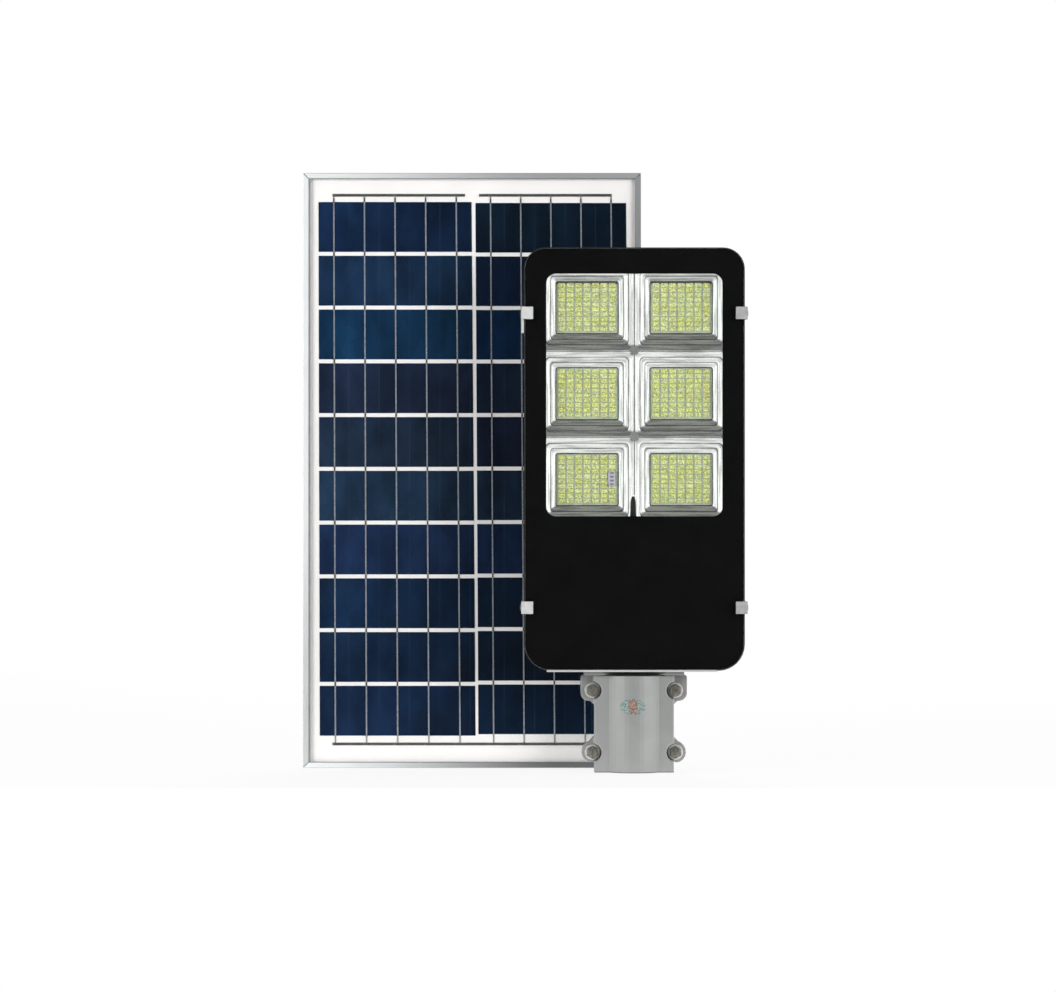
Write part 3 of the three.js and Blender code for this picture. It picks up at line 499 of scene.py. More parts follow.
def cast(name, node, slot, voxel, rounds, look=None):
    """A cast piece from a CAD node: remeshed with voxels in millimetres, its edges melted as by a mould."""
    made = put(name, frame["nodes"][node].data.copy())
    weld(made)
    modify(made, "REMESH", mode="VOXEL", voxel_size=voxel * MM)
    modify(made, "SMOOTH", factor=0.5, iterations=rounds)
    modify(made, "DECIMATE", ratio=0.3)
    bpy.context.view_layer.update()
    made.data = bpy.data.meshes.new_from_object(made.evaluated_get(bpy.context.evaluated_depsgraph_get()))
    made.modifiers.clear()
    dress(made.data, look or looks[slot], 50)
    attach(made, BODY_OF[node])
    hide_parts(node)


def middle(node):
    low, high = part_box(node)
    return (low + high) / 2


# ---- screws

def screw(origin, along, radius, height):
    """The domed head of a pan-head screw."""
    shape = [(1.0, 0.0), (1.0, 0.35), (0.93, 0.7), (0.75, 0.92), (0.45, 1.0), (0.12, 1.02)]
    return turned([(radius * r, height * h) for r, h in shape], origin, along, 24)


def cross_mark(origin, along, size, depth):
    """The dark cross of a screw's recess: painted shade, a dark mark on the head."""
    along, first, second = directions(along)
    bar = 0.18 * size
    shells = []
    for one, two in ((first, second), (second, first)):
        corners = [(size, bar), (-size, bar), (-size, -bar), (size, -bar)]
        rings = [
            [tuple(Vector(origin) + one * a * share + two * b * share + along * rise) for a, b in corners]
            for share, rise in ((0.96, 0.0), (0.96, 0.6 * depth), (1.0, depth))
        ]
        shells.append(loft(rings))
    return shells


def make_screws(name, places, radius, height, slot, body):
    """Screws of one kind that face backwards, in one piece, and their recesses in another."""
    radius *= MM
    height *= MM
    heads = [screw(place, BACKWARD, radius, height) for place in places]
    marks = []
    for place in places:
        top = Vector(place) + Vector(BACKWARD) * (height * 0.97)
        marks += cross_mark(top, BACKWARD, 0.52 * radius, 0.12 * height)
    piece(name, heads, slot, body)
    # The recesses are dark marks: painted shade.
    piece(name + "_recess", marks, slot, body, look=socket_dark)


# ---- solar panel

LIP = 5.7 * MM
ROWS = 10
CELL_HEIGHT = 51.7 * MM
CELL_GAP = 4.1 * MM
ROW_PITCH = CELL_HEIGHT + CELL_GAP
CELL_CHAMFER = 0.12 * MM
RIBBONS = 5
RIBBON_WIDTH = 1.4 * MM
SIDES = (("left", -1), ("right", 1))

NAVY = (0.0040, 0.0132, 0.035)
DUSK = (0.0093, 0.0148, 0.031)
DENIM = (0.0096, 0.0200, 0.044)
INK = (0.0042, 0.0140, 0.037)
TEAL = (0.0046, 0.0218, 0.064)
PLUM = (0.0078, 0.0145, 0.039)
STEEL_BLUE = (0.0066, 0.0205, 0.055)
ROW_TONES = [NAVY, STEEL_BLUE, TEAL, PLUM, DUSK, DENIM, STEEL_BLUE, INK, NAVY, INK]

# How far each string is off its true place, in millimetres: its top left, top right, foot left and foot
# right corners to the right, then its top and its foot upwards.
SKEW = {"left": (0.2, 1.2, 1.6, 5.5, 1.3, 2.0), "right": (1.7, 0.2, 4.8, 5.2, 0.3, 3.6)}


def make_frame():
    for side, _sign in SIDES:
        refine(f"frame_{side}", "frame", 0.6, segments=3)
    refine("frame_top", "frame", 0.6, frame_level, 3)
    refine("frame_bottom", "frame", 0.6, frame_base, 3)
    for corner in range(1, 5):
        refine(f"corner_key_{corner}", "zinc_steel", 0.3)


def make_seal():
    """The bead of sealant that shows along the inside of the frame's lip. Its extra width along the left lip
    is painted shade, in place of the shadow line there.
    """
    left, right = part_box("frame_left")[0].x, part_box("frame_right")[1].x
    bottom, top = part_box("frame_bottom")[0].z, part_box("frame_top")[1].z
    centre = ((left + right) / 2, (bottom + top) / 2)
    half = ((right - left) / 2 - LIP, (top - bottom) / 2 - LIP)
    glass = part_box("panel_glass")[0].y
    narrow = 0.5 * MM
    wide = 1.9 * MM
    stand = 0.3 * MM
    contact = glass - 0.05 * MM

    def ring(share, y):
        """One line of the bead. The bead is wide along the left lip, as painted shade, and narrow along the
        others.
        """
        shrink = share * narrow
        shift = share * (wide - narrow) / 2
        return outline((half[0] - shift, half[1]), (centre[0] + shift, centre[1]), y, 0.4 * MM, 2, shrink)

    rings = [
        ring(0.0, contact), ring(0.0, glass - stand), ring(0.4, glass - 0.8 * stand),
        ring(1.0, glass - 0.3 * stand), ring(1.0, contact),
    ]
    piece("frame_seal", [loft(rings, closed=True)], "frame", "panel", look=seal_grey)


def cell_layout(side):
    """A string's box, and the foot of each row of its cells, from the bottom."""
    low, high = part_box(f"cell_string_{side}")
    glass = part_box("panel_glass")
    bottom = (glass[0].z + glass[1].z) / 2 - (ROWS * ROW_PITCH - CELL_GAP) / 2
    return low, high, [bottom + row * ROW_PITCH for row in range(ROWS)]


def lanes(low, high):
    """Where the ribbons lie across a string."""
    pitch = (high.x - low.x) / RIBBONS
    return [low.x + (i + 0.5) * pitch for i in range(RIBBONS)]


def askew(shells, side, low, high):
    """The strings are soldered by hand: each one leans and spreads a little towards its lower end."""
    top_left, top_right, foot_left, foot_right, top_lift, foot_lift = SKEW[side]
    placed = []
    for points, faces in shells:
        moved = []
        for x, y, z in points:
            across = (x - low.x) / (high.x - low.x)
            down = (high.z - z) / (high.z - low.z)
            near = top_left + (foot_left - top_left) * down
            far = top_right + (foot_right - top_right) * down
            lift = top_lift + (foot_lift - top_lift) * down
            moved.append((x + (near + (far - near) * across) * MM, y, z + lift * MM))
        placed.append((moved, faces))
    return placed


def make_cells(side):
    """The cells of one string, each with a tone of its own. across counts ribbon lanes, for the painted
    highlight streaks.
    """
    low, high, feet = cell_layout(side)
    front = low.y + 0.12 * MM
    shells = []
    tones = []
    for foot, tone in zip(feet, reversed(ROW_TONES)):
        shells.append(slab((low.x, front, foot), (high.x, high.y, foot + CELL_HEIGHT), CELL_CHAMFER))
        tones.append(tuple(c * random.uniform(0.86, 1.14) for c in tone))
    shells = askew(shells, side, low, high)
    made = piece(f"cells_{side}", shells, "cells", "panel", (f"cell_string_{side}",), tones=tones)
    across = made.data.attributes.new("across", "FLOAT", "POINT")
    pitch = (high.x - low.x) / RIBBONS
    across.data.foreach_set("value", [(v.co.x - low.x) / pitch for v in made.data.vertices])


def make_ribbons(side):
    """Flat ribbons that solder the cells in series, sinking a little between two cells, with dark bridges."""
    low, high, feet = cell_layout(side)
    half = RIBBON_WIDTH / 2
    foot_lift = SKEW[side][5]
    rise = 0.2 * MM
    shells = []
    tones = []
    for x in lanes(low, high):
        stations = [(low.z - (foot_lift + 0.6) * MM, low.y + 0.08 * MM)]
        for foot in feet:
            sag = low.y + 0.16 * MM
            stations += [(foot - 1.2 * MM, sag), (foot + 0.6 * MM, low.y)]
            stations += [(foot + CELL_HEIGHT - 0.6 * MM, low.y), (foot + CELL_HEIGHT + 1.2 * MM, sag)]
        stations.append((high.z, low.y + 0.08 * MM))
        shells.append(loft([[
            (x - half, y + 0.03 * MM, z), (x - half + 0.1 * MM, y, z), (x + half - 0.1 * MM, y, z),
            (x + half, y + 0.03 * MM, z), (x + half, y + 0.11 * MM, z), (x - half, y + 0.11 * MM, z),
        ] for z, y in stations]))
        level = random.uniform(0.38, 0.46)
        tones.append((level * 0.93, level, level * 1.10))
        tops = [foot + CELL_HEIGHT for foot in feet[:-1]]
        bridges = [(top + rise, top + CELL_GAP - rise) for top in tops]
        bridges.append((feet[0] + ROWS * ROW_PITCH - CELL_GAP + rise, high.z - 2.6 * MM))
        for foot, head in bridges:
            shells.append(block((x, low.y, foot), (x, low.y, head), (-0.75, -0.02, 0), (0.75, 0.2, 0), 0.05))
            tones.append((0.10, 0.10, 0.10))
    piece(f"ribbons_{side}", askew(shells, side, low, high), "ribbon", "panel", tones=tones)


def make_bus_ribbons():
    """Cross ribbons with a dull, mottled tin coat, and a solder spot at each crossing."""
    spot = mm((1.1, 0.0), (1.05, 0.05), (0.7, 0.09), (0.2, 0.105))
    for node in ("bus_ribbon_top_left", "bus_ribbon_top_right", "bus_ribbon_bottom"):
        low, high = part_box(node)
        shells = [slab(low, high, 0.1 * MM)]
        tones = [(0.135, 0.138, 0.135)]
        for side, _sign in SIDES:
            for x in lanes(*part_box(f"cell_string_{side}")):
                if low.x < x < high.x:
                    shells.append(turned(spot, (x, low.y + 0.01 * MM, (low.z + high.z) / 2), FORWARD, 12))
                    tones.append((0.21, 0.215, 0.21))
        piece(node.replace("ribbon", "strip"), shells, "ribbon", "panel", (node,), tones=tones)


def make_junction_box():
    """The box on the panel's back: its lid has four screws and a raised, ribbed middle."""
    refine("junction_box", "black_plastic", 0.7, segments=3)
    refine("junction_box_lid", "black_plastic", 0.8, segments=3)
    refine("terminal_block", "terminal", 0.4)
    low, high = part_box("junction_box_lid")
    inset = 7 * MM
    corners = [
        (x, high.y, z) for x in (low.x + inset, high.x - inset) for z in (low.z + inset, high.z - inset)
    ]
    make_screws("lid_screws", corners, 2.6, 1.4, "zinc_steel", "panel")
    whole, centre = plan(low, high)
    margin = 13 * MM
    half = (whole[0] - margin, whole[1] - margin)
    raised = loft([
        outline(half, centre, high.y - 0.2 * MM, 4 * MM), outline(half, centre, high.y + 0.5 * MM, 4 * MM),
        outline(half, centre, high.y + 0.9 * MM, 3.5 * MM, shrink=0.6 * MM),
    ])
    ribs = []
    for i in range(-3, 4):
        foot = (centre[0] + i * 9 * MM, high.y, centre[1] - half[1])
        head = (centre[0] + i * 9 * MM, high.y, centre[1] + half[1])
        ribs.append(block(foot, head, (-1, 0.7, 5), (1, 1.6, -5), 0.4, slab_back))
    piece("lid_panel", [raised, *ribs], "black_plastic", "panel")


def make_gland(name, node, along):
    """A cable gland: a ribbed sealing nut on a flange, with a rubber bush and an empty bore."""
    low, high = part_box(node)
    axis = Vector(along)
    length = abs((high - low).dot(axis))
    start = (low + high) / 2 - axis * length / 2
    nut = 13.7 * MM if length > 18 * MM else 11.2 * MM
    flange = length - nut
    bore = 3.2 * MM
    thread = 5.9 * MM

    def ribs(radius, angle):
        return radius * (1 - 0.05 * max(0.0, math.cos(18 * angle)) ** 2) if radius > 8 * MM else radius

    profile = [
        (bore, 0), (thread, 0), (thread, flange), (8.9 * MM, flange), (9 * MM, flange + 0.8 * MM),
        (9 * MM, length - 5 * MM), (8.4 * MM, length - 2.5 * MM), (6.8 * MM, length - 0.4 * MM),
        (6.0 * MM, length), (bore + 0.5 * MM, length), (bore, length - 1 * MM),
    ]
    shell = turned(profile, start, axis, 72, ribs, closed=True)
    piece(name, [shell], "black_plastic", BODY_OF[node], (node,))


# ---- tilt bracket

def make_bracket():
    """Two rails across the panel's back, and the bracket's ears, legs, pads and foot plate."""
    for node in ("cross_rail_lower", "cross_rail_upper"):
        refine(node, "frame", 0.7, frame_level, 3)
        low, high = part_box(node)
        z = (low.z + high.z) / 2
        ends = [(x, high.y, z + dz) for x in (low.x + 7 * MM, high.x - 7 * MM) for dz in (-6 * MM, 6 * MM)]
        make_screws(node + "_screws", ends, 3.2, 1.8, "zinc_steel", "panel")
    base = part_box("cross_rail_lower")[1].y + 2.8 * MM
    for side, sign in SIDES:
        refine(f"hinge_ear_{side}", "zinc_steel", 0.4)
        refine(f"bracket_leg_{side}", "zinc_steel", 0.5)
        refine(f"foot_pad_{side}", "rubber", 0.5)
        make_pivot(side, sign)
        low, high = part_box(f"hinge_ear_{side}")
        x = low.x + 9 * MM if sign > 0 else high.x - 9 * MM
        places = [(x, base, middle(f"hinge_ear_{side}").z + dz) for dz in (-6 * MM, 6 * MM)]
        make_screws(f"ear_screws_{side}", places, 2.8, 1.6, "zinc_steel", "panel")
    refine("bracket_foot_plate", "zinc_steel", 0.6)


def make_pivot(side, sign):
    """The pivot bolt: a hexagon head outside the ear, and a lock nut inside the leg."""
    node = f"pivot_bolt_{side}"
    low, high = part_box(node)
    centre = middle(node)
    outward = (sign, 0, 0)
    outer, inner = (high.x, low.x) if sign > 0 else (low.x, high.x)
    flats = hexagon(6.5 * MM)
    shank = (high.x - low.x) - 6 * MM
    start = (inner, centre.y, centre.z)
    head_start = (outer - sign * 5.3 * MM, centre.y, centre.z)
    head = turned(mm((7.6, 0), (7.6, 3.6), (7.2, 4.6), (6.2, 5.1), (2, 5.3)), head_start, outward, 48, flats)
    nut = turned(mm((6.4, 0.7), (7.3, 1.4), (7.6, 2), (7.6, 7.9)), start, outward, 48, flats)
    bar = turned([(2.8 * MM, 0), (3.7 * MM, 0.8 * MM), (3.7 * MM, shank)], start, outward, 24)
    piece(f"pivot_{side}", [head, nut, bar], "bolt_steel", BODY_OF[node], (node,))


# ---- lamp head

glass_low, glass_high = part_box("lamp_glass")
house_low, house_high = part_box("lamp_housing")
FRONT = glass_low.y
OUTLINE_HALF, OUTLINE_CENTRE = plan(glass_low, glass_high)
LAMP_X = OUTLINE_CENTRE[0]
TOP_RADIUS = 21 * MM
BOTTOM_RADIUS = 26 * MM
GROW = 0.8 * MM
WALL = 4.5 * MM
TRAY_FRONT = FRONT + 5.8 * MM
TRAY_FLOOR = FRONT + 19.5 * MM
TRAY_BACK = FRONT + 23.5 * MM
TRAY_EDGE = 6 * MM
BULGE_HALF = 100 * MM
BULGE_TOP = 254 * MM
BULGE_BACK = FRONT + 54.5 * MM
BULGE_RADIUS = 16 * MM
BULGE_EDGE = 5 * MM
BULGE_FLARE = 3.2 * MM
FINS = 13
FIN_PITCH = 15 * MM
FIN_STATIONS = 26
BOSS_PLACES = [(LAMP_X + side * 101 * MM, z) for side in (-1, 1) for z in (300 * MM, 500 * MM)]
COVER_HALF = (58 * MM, 36 * MM)
COVER_CENTRE = (LAMP_X + 8 * MM, 190 * MM)


def lamp_ring(grow, y):
    """The lamp's outline, grown by a margin, at one depth."""
    bottom = BOTTOM_RADIUS + grow
    top = TOP_RADIUS + grow
    return outline(OUTLINE_HALF, OUTLINE_CENTRE, y, (bottom, top, top, bottom), 8, -grow)


def round_over(radius, steps=5):
    """Pairs of (inset, rise) that round an edge over."""
    turns = [math.pi / 2 * i / steps for i in range(1, steps + 1)]
    return [(radius * (1 - math.cos(turn)), radius * math.sin(turn)) for turn in turns]


def tray_shell():
    """The shallow tray: its chamber floor, its walls, the lip that the glass sits on, and its round back."""
    inner = GROW - WALL
    turn = TRAY_BACK - TRAY_EDGE
    lines = [
        (inner - 3 * MM, TRAY_FLOOR), (inner, TRAY_FLOOR - 3 * MM), (inner, TRAY_FRONT + 0.4 * MM),
        (inner + 0.4 * MM, TRAY_FRONT), (GROW - 0.6 * MM, TRAY_FRONT), (GROW, TRAY_FRONT + 0.6 * MM),
        (GROW, turn),
    ]
    lines += [(GROW - inset, turn + rise) for inset, rise in round_over(TRAY_EDGE)]
    return loft([lamp_ring(*line) for line in lines])


def bulge_ring(shrink, y, flare=0.0):
    """The bulge's outline at one depth. The flare widens it at its sides and top only."""
    low = house_low.z + shrink
    high = BULGE_TOP - shrink + flare
    radius = max(BULGE_RADIUS - shrink, 2 * MM)
    half = (BULGE_HALF - shrink + flare, (high - low) / 2)
    return outline(half, (LAMP_X, (low + high) / 2), y, radius, 8)


def bulge_shell():
    """The bulge that holds the battery, flared where it grows out of the tray, with a round back edge."""
    rings = [bulge_ring(0, TRAY_FLOOR + 1 * MM, BULGE_FLARE)]
    for angle in range(0, 91, 18):
        rise = math.sin(math.radians(angle))
        rings.append(bulge_ring(0, TRAY_BACK - 0.2 * MM + BULGE_FLARE * rise, BULGE_FLARE * (1 - rise)))
    rings.append(bulge_ring(0, BULGE_BACK - BULGE_EDGE))
    for inset, rise in round_over(BULGE_EDGE):
        rings.append(bulge_ring(inset, BULGE_BACK - BULGE_EDGE + rise))
    return loft(rings)


def fin_shell(x, bottom, top, crest, root):
    """One cooling fin: tapered, with a round crest, a fillet at its root, and sloping ends."""
    rings = []
    for i in range(FIN_STATIONS + 1):
        share = i / FIN_STATIONS
        z = bottom + (top - bottom) * share
        rise = min(1.0, 0.72 + share / 0.16 * 0.28, (1 - share) / 0.2 * 0.8 + 0.2)
        reach = root + (crest - root) * rise
        side = [(half * MM, base + up * MM) for half, base, up in (
            (3.4, root, -1.0), (2.4, root, 0.3), (1.8, root, 1.6), (1.5, root, 3.2),
            (1.2, reach, -1.2), (0.9, reach, -0.4), (0.36, reach, 0),
        )]
        rings.append([(x + a, y, z) for a, y in side] + [(x - a, y, z) for a, y in reversed(side)])
    return loft(rings)


def make_housing():
    """The lamp's housing with its fins and screw bosses, and the battery's cover on its bulge."""
    fins = []
    for i in range(FINS):
        x = LAMP_X + (i - (FINS - 1) / 2) * FIN_PITCH
        fins.append(fin_shell(x, 248 * MM, 520 * MM, house_high.y, TRAY_BACK))
    profile = mm((5.2, 0), (4.6, 1.2), (4.4, 2.4), (3.8, 2.8))
    bosses = [turned(profile, (x, TRAY_BACK - 1 * MM, z), BACKWARD, 24) for x, z in BOSS_PLACES]
    piece("housing_tray", [tray_shell(), bulge_shell(), *fins, *bosses], "grey_casting", "lamp",
          ("lamp_housing",))
    places = [(x, TRAY_BACK + 1.7 * MM, z) for x, z in BOSS_PLACES]
    make_screws("housing_screws", places, 3.0, 1.6, "bolt_steel", "lamp")
    crest = BULGE_BACK + 1.8 * MM
    cover = loft([
        outline(COVER_HALF, COVER_CENTRE, BULGE_BACK - 0.3 * MM, 6 * MM),
        outline(COVER_HALF, COVER_CENTRE, BULGE_BACK + 1.2 * MM, 6 * MM),
        outline(COVER_HALF, COVER_CENTRE, crest, 5.2 * MM, shrink=1 * MM),
    ])
    piece("battery_cover", [cover], "grey_casting", "lamp")
    corners = [
        (COVER_CENTRE[0] + across * 52 * MM, crest, COVER_CENTRE[1] + up * 30 * MM)
        for across in (-1, 1) for up in (-1, 1)
    ]
    make_screws("cover_screws", corners, 2.8, 1.5, "bolt_steel", "lamp")


def make_drip_edge():
    """The trim under the glass, in a lighter grey than the housing as painted light, and a dark insert in the
    slot of the clamp's neck as painted shade.
    """
    bottom = glass_low.z
    corner = (LAMP_X, FRONT, bottom)
    trim = block(corner, corner, (-89, 2.6, -2.1), (84, 10, -0.1), 0.3)
    # Painted light: the trim gets a lighter grey than the housing.
    piece("drip_edge", [trim], "clip_metal", "lamp", look=trim_light)
    half = 32.8 * MM
    rise = 1.45 * MM
    centre = bottom - 3.7 * MM
    lens = []
    for angle in circle(40):
        lift = math.copysign(abs(math.sin(angle)) ** 1.3, math.sin(angle))
        lens.append((half * math.cos(angle), centre + rise * lift))
    # Painted shade: a dark insert fills the slot.
    y = FRONT + 12 * MM
    slot_shade = loft([facing(lens, (LAMP_X, 0), y - 0.15 * MM), facing(lens, (LAMP_X, 0), y + 18 * MM)])
    piece("neck_slot_shade", [slot_shade], "rubber", "lamp")


def make_front_glass():
    """The glass, its black print and its gasket, and the sealant round its edge."""
    refine("lamp_glass", "lamp_glass", 0.5)
    refine("glass_black_print", "black_print", 0)
    refine("glass_gasket", "rubber", 0.3)
    section = mm((0.0, 3.0), (0.75, 3.1), (0.95, 3.6), (0.98, 6.6), (0.82, 6.6), (0.0, 5.7))
    rings = [lamp_ring(reach, FRONT + depth) for reach, depth in section]
    piece("edge_sealant", [loft(rings, closed=True)], "rubber", "lamp")


STEPS = 3
RIDGE = (95.8 * MM / 2, 87.5 * MM / 2)
OPENING = (31.7 * MM, 26.4 * MM)
OPENING_LIFT = 0.9 * MM
OUTER_CORNER = 12


def well_shell(centre, column, row):
    """One stepped well: from the shared ridge (share 0) down three steps to its board's opening (share 1).

    The reflector's own outer corners are rounded more than the rest. Radii and insets are millimetres.
    """
    low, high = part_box("reflector")
    front = low.y + 0.2 * MM
    back = high.y - 0.5 * MM
    outer = {(1, 2): 0, (1, 0): 1, (-1, 0): 2, (-1, 2): 3}.get((column, row))

    def ring(share, y, radius, inset=0.0):
        half = [wide + (narrow - wide) * share for wide, narrow in zip(RIDGE, OPENING)]
        radii = [radius * MM] * 4
        if outer is not None:
            radii[outer] = max(radius, OUTER_CORNER - share * 14) * MM
        place = (centre.x, centre.z + OPENING_LIFT * share)
        return outline(half, place, y, tuple(radii), shrink=inset * MM)

    rings = [ring(0.0, front + 0.9 * MM, 0.8), ring(0.012, front + 0.25 * MM, 1.4)]
    rings += [ring(0.035, front, 2.4), ring(0.06, front + 0.25 * MM, 3.4)]
    start = 0.07
    drop = (back - front - 0.4 * MM) / STEPS
    for step in range(STEPS):
        near = start + (1 - start) * step / STEPS
        far = start + (1 - start) * (step + 1) / STEPS
        tread = near + (far - near) * 0.86
        y = front + 0.4 * MM + step * drop
        radius = 5.2 - 1.0 * step
        rings.append(ring(near, y, radius))
        for along, sink in ((0.34, 0.23), (0.67, 0.53), (1.0, 0.93)):
            rings.append(ring(near + (tread - near) * along, y + sink * drop, radius - 0.6 * along))
        rings.append(ring(tread + 0.12 * (far - tread), y + 1.0 * drop, radius - 0.7))
    rings += [ring(1.0, back, 1.2), ring(1.0, high.y, 1.2, 0.1), ring(0.8, high.y, 2)]
    rings.append(ring(0.0, front + 3 * MM, 0.8))
    return loft(rings, closed=True)


def make_reflector():
    """Six wells, a dark strip down the middle ridge as painted shade, and the flat crossings where four wells
    meet, grey as painted reflection.
    """
    wells = []
    for number in range(6):
        wells.append(well_shell(middle(f"led_board_{number + 1}"), 1 if number % 2 else -1, number // 2))
    piece("reflector_wells", wells, "silver_plate", "lamp", ("reflector",), sharp=12)
    low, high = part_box("reflector")
    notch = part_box("ir_receiver")[1].z
    # Painted shade: a dark strip along the middle ridge.
    ridge_shade = block((LAMP_X, low.y, notch), (LAMP_X, low.y, high.z), (-0.55, -0.02, 1.5), (0.55, 0.8, -8), 0.1)
    piece("reflector_ridge_shade", [ridge_shade], "silver_plate", "lamp", look=ridge_line)
    # Painted reflection: the flat crossings are grey instead of silver.
    outer = mm((6.2, 0), (0.6, 5.8), (-0.6, 5.8), (-6.2, 0), (-0.6, -5.4), (0.6, -5.4))
    inner = [(0.8 * x, 0.8 * dz) for x, dz in outer]
    pads = []
    for first, second in ((1, 3), (3, 5)):
        z = (middle(f"led_board_{first}").z + middle(f"led_board_{second}").z) / 2 + 1.1 * MM
        pads.append(loft([
            facing(inner, (LAMP_X, z), low.y - 0.12 * MM), facing(outer, (LAMP_X, z), low.y + 0.1 * MM),
            facing(outer, (LAMP_X, z), low.y + 2.4 * MM),
        ]))
    piece("reflector_crossings", pads, "silver_plate", "lamp", look=ridge_pad)


LED_COLUMNS = 7
LED_ROWS = 10
LED_FIELD, LED_SIZE = mm((58.7, 48.6), (7.1, 4.35))
LED_HALF = (LED_SIZE[0] / 2, LED_SIZE[1] / 2)
LED_LIFT = 1.6 * MM
PHOSPHOR = (0.575, 0.615, 0.245)


def led_places(centre):
    """The middles of a board's LEDs, row by row from the top."""
    pitch_x = (LED_FIELD[0] - LED_SIZE[0]) / (LED_COLUMNS - 1)
    pitch_z = (LED_FIELD[1] - LED_SIZE[1]) / (LED_ROWS - 1)
    for row in range(LED_ROWS):
        for column in range(LED_COLUMNS):
            yield (
                centre.x + (column - (LED_COLUMNS - 1) / 2) * pitch_x,
                centre.z + LED_LIFT + ((LED_ROWS - 1) / 2 - row) * pitch_z,
            )


def led_shell(x, z, board):
    """One LED package: a low body, its rim, and the phosphor filling that bulges slightly."""
    def ring(inset, rise, radius):
        return outline(LED_HALF, (x, z), board - rise * MM, radius * MM, 2, inset * MM)

    return loft([
        ring(0.15, -0.05, 0.5), ring(0, 0.1, 0.5), ring(0.05, 0.7, 0.5),
        ring(0.3, 0.8, 0.4), ring(0.5, 0.66, 0.5), ring(1.2, 0.8, 0.3),
    ])


def make_board_shadow_ring(number, face):
    """A dark ring round a board's opening: painted shadow. On the top two boards it also covers a strip above
    the LEDs, painted shadow under the wall above them.
    """
    centre = middle(f"led_board_{number}")
    opening = (centre.x, centre.z + OPENING_LIFT)

    def line(inset, rise):
        return outline(OPENING, opening, face - rise * MM, 1.2 * MM, 3, inset * MM)

    parts = [loft([line(0.05, 0.3), line(0.5, 0.3), line(0.5, -0.02), line(0.05, -0.02)], closed=True)]
    if number < 3:
        head = opening[1] + OPENING[1]
        left = (opening[0] - OPENING[0], face, head)
        right = (opening[0] + OPENING[0], face, head)
        # Painted shadow: a dark strip above the LEDs.
        parts.append(block(left, right, (1, -0.3, -2.4), (-1, -0.05, -0.3), 0.05))
    piece(f"board_shadow_ring_{number}", parts, "rubber", "lamp", look=shadow_line)


def make_led_board(number):
    """A board with its painted shadow ring, its LEDs, each a little different in tone, and their solder pads.
    """
    node = f"led_board_{number}"
    low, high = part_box(node)
    piece(f"board_{number}", [slab(low, high, 0.2 * MM)], "led_board", "lamp", (node,))
    make_board_shadow_ring(number, low.y)
    chips = []
    tones = []
    pads = []
    for x, z in led_places(middle(node)):
        chips.append(led_shell(x, z, low.y))
        bright = random.uniform(0.93, 1.06)
        tones.append((PHOSPHOR[0] * bright * random.uniform(0.96, 1.04), PHOSPHOR[1] * bright,
                      PHOSPHOR[2] * bright * random.uniform(0.8, 1.3)))
        for side in (-1, 1):
            spot = (x + side * (LED_HALF[0] + 0.35 * MM), low.y, z)
            pads.append(block(spot, spot, (-0.45, -0.12, -1.1), (0.45, 0.02, 1.1), 0.05))
    piece(f"leds_{number}", chips, "led_phosphor", "lamp", tones=tones)
    piece(f"solder_pads_{number}", pads, "led_board", "lamp", look=pad_tin)


def make_terminal():
    """The plug of the board's supply wires: a block with a raised rib and four contact slots, drawn as darker
    lilac marks: painted shade.
    """
    low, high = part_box("wire_terminal")
    body = slab(low, high, 0.5 * MM)
    lug = block(low, (low.x, high.y, high.z), (-0.8, 0.8, 3), (0.5, 0, -3), 0.2)
    piece("supply_plug", [body, lug], "lilac_plastic", "lamp", ("wire_terminal",))
    slots = []
    for i in range(4):
        z = low.z + (i + 0.5) * (high.z - low.z) / 4
        left = (low.x, low.y, z)
        slots.append(block(left, (high.x, low.y, z), (1.6, -0.05, -0.9), (-1.6, 0.3, 0.9), 0.05))
    piece("supply_contacts", slots, "lilac_plastic", "lamp", look=lilac_shade)


# ---- arm clamp

def make_clamp_bolt(number):
    """A hexagon bolt with a bright washer under its domed head."""
    node = f"clamp_bolt_{number}"
    centre = middle(node)
    origin = (centre.x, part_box(node)[0].y + 7.0 * MM, centre.z)
    rim = mm((4.2, 0), (7.6, 0), (7.8, 0.3), (7.8, 1.2), (7.4, 1.6), (4.2, 1.6))
    dome = mm((7.4, 1.6), (7.2, 4.6), (6.6, 5.6), (5.4, 6.3), (3.4, 6.8), (1.0, 6.95))
    washer = turned(rim, origin, FORWARD, 40)
    head = turned(dome, origin, FORWARD, 48, hexagon(5.7 * MM))
    shank = turned(mm((3.9, 0), (3.9, 24.5), (3.1, 25.4)), origin, BACKWARD, 24)
    piece(f"bolt_washer_{number}", [washer], "bolt_steel", "clamp_cap", look=washer_steel)
    piece(f"bolt_{number}", [head, shank], "bolt_steel", "clamp_cap", (node,))


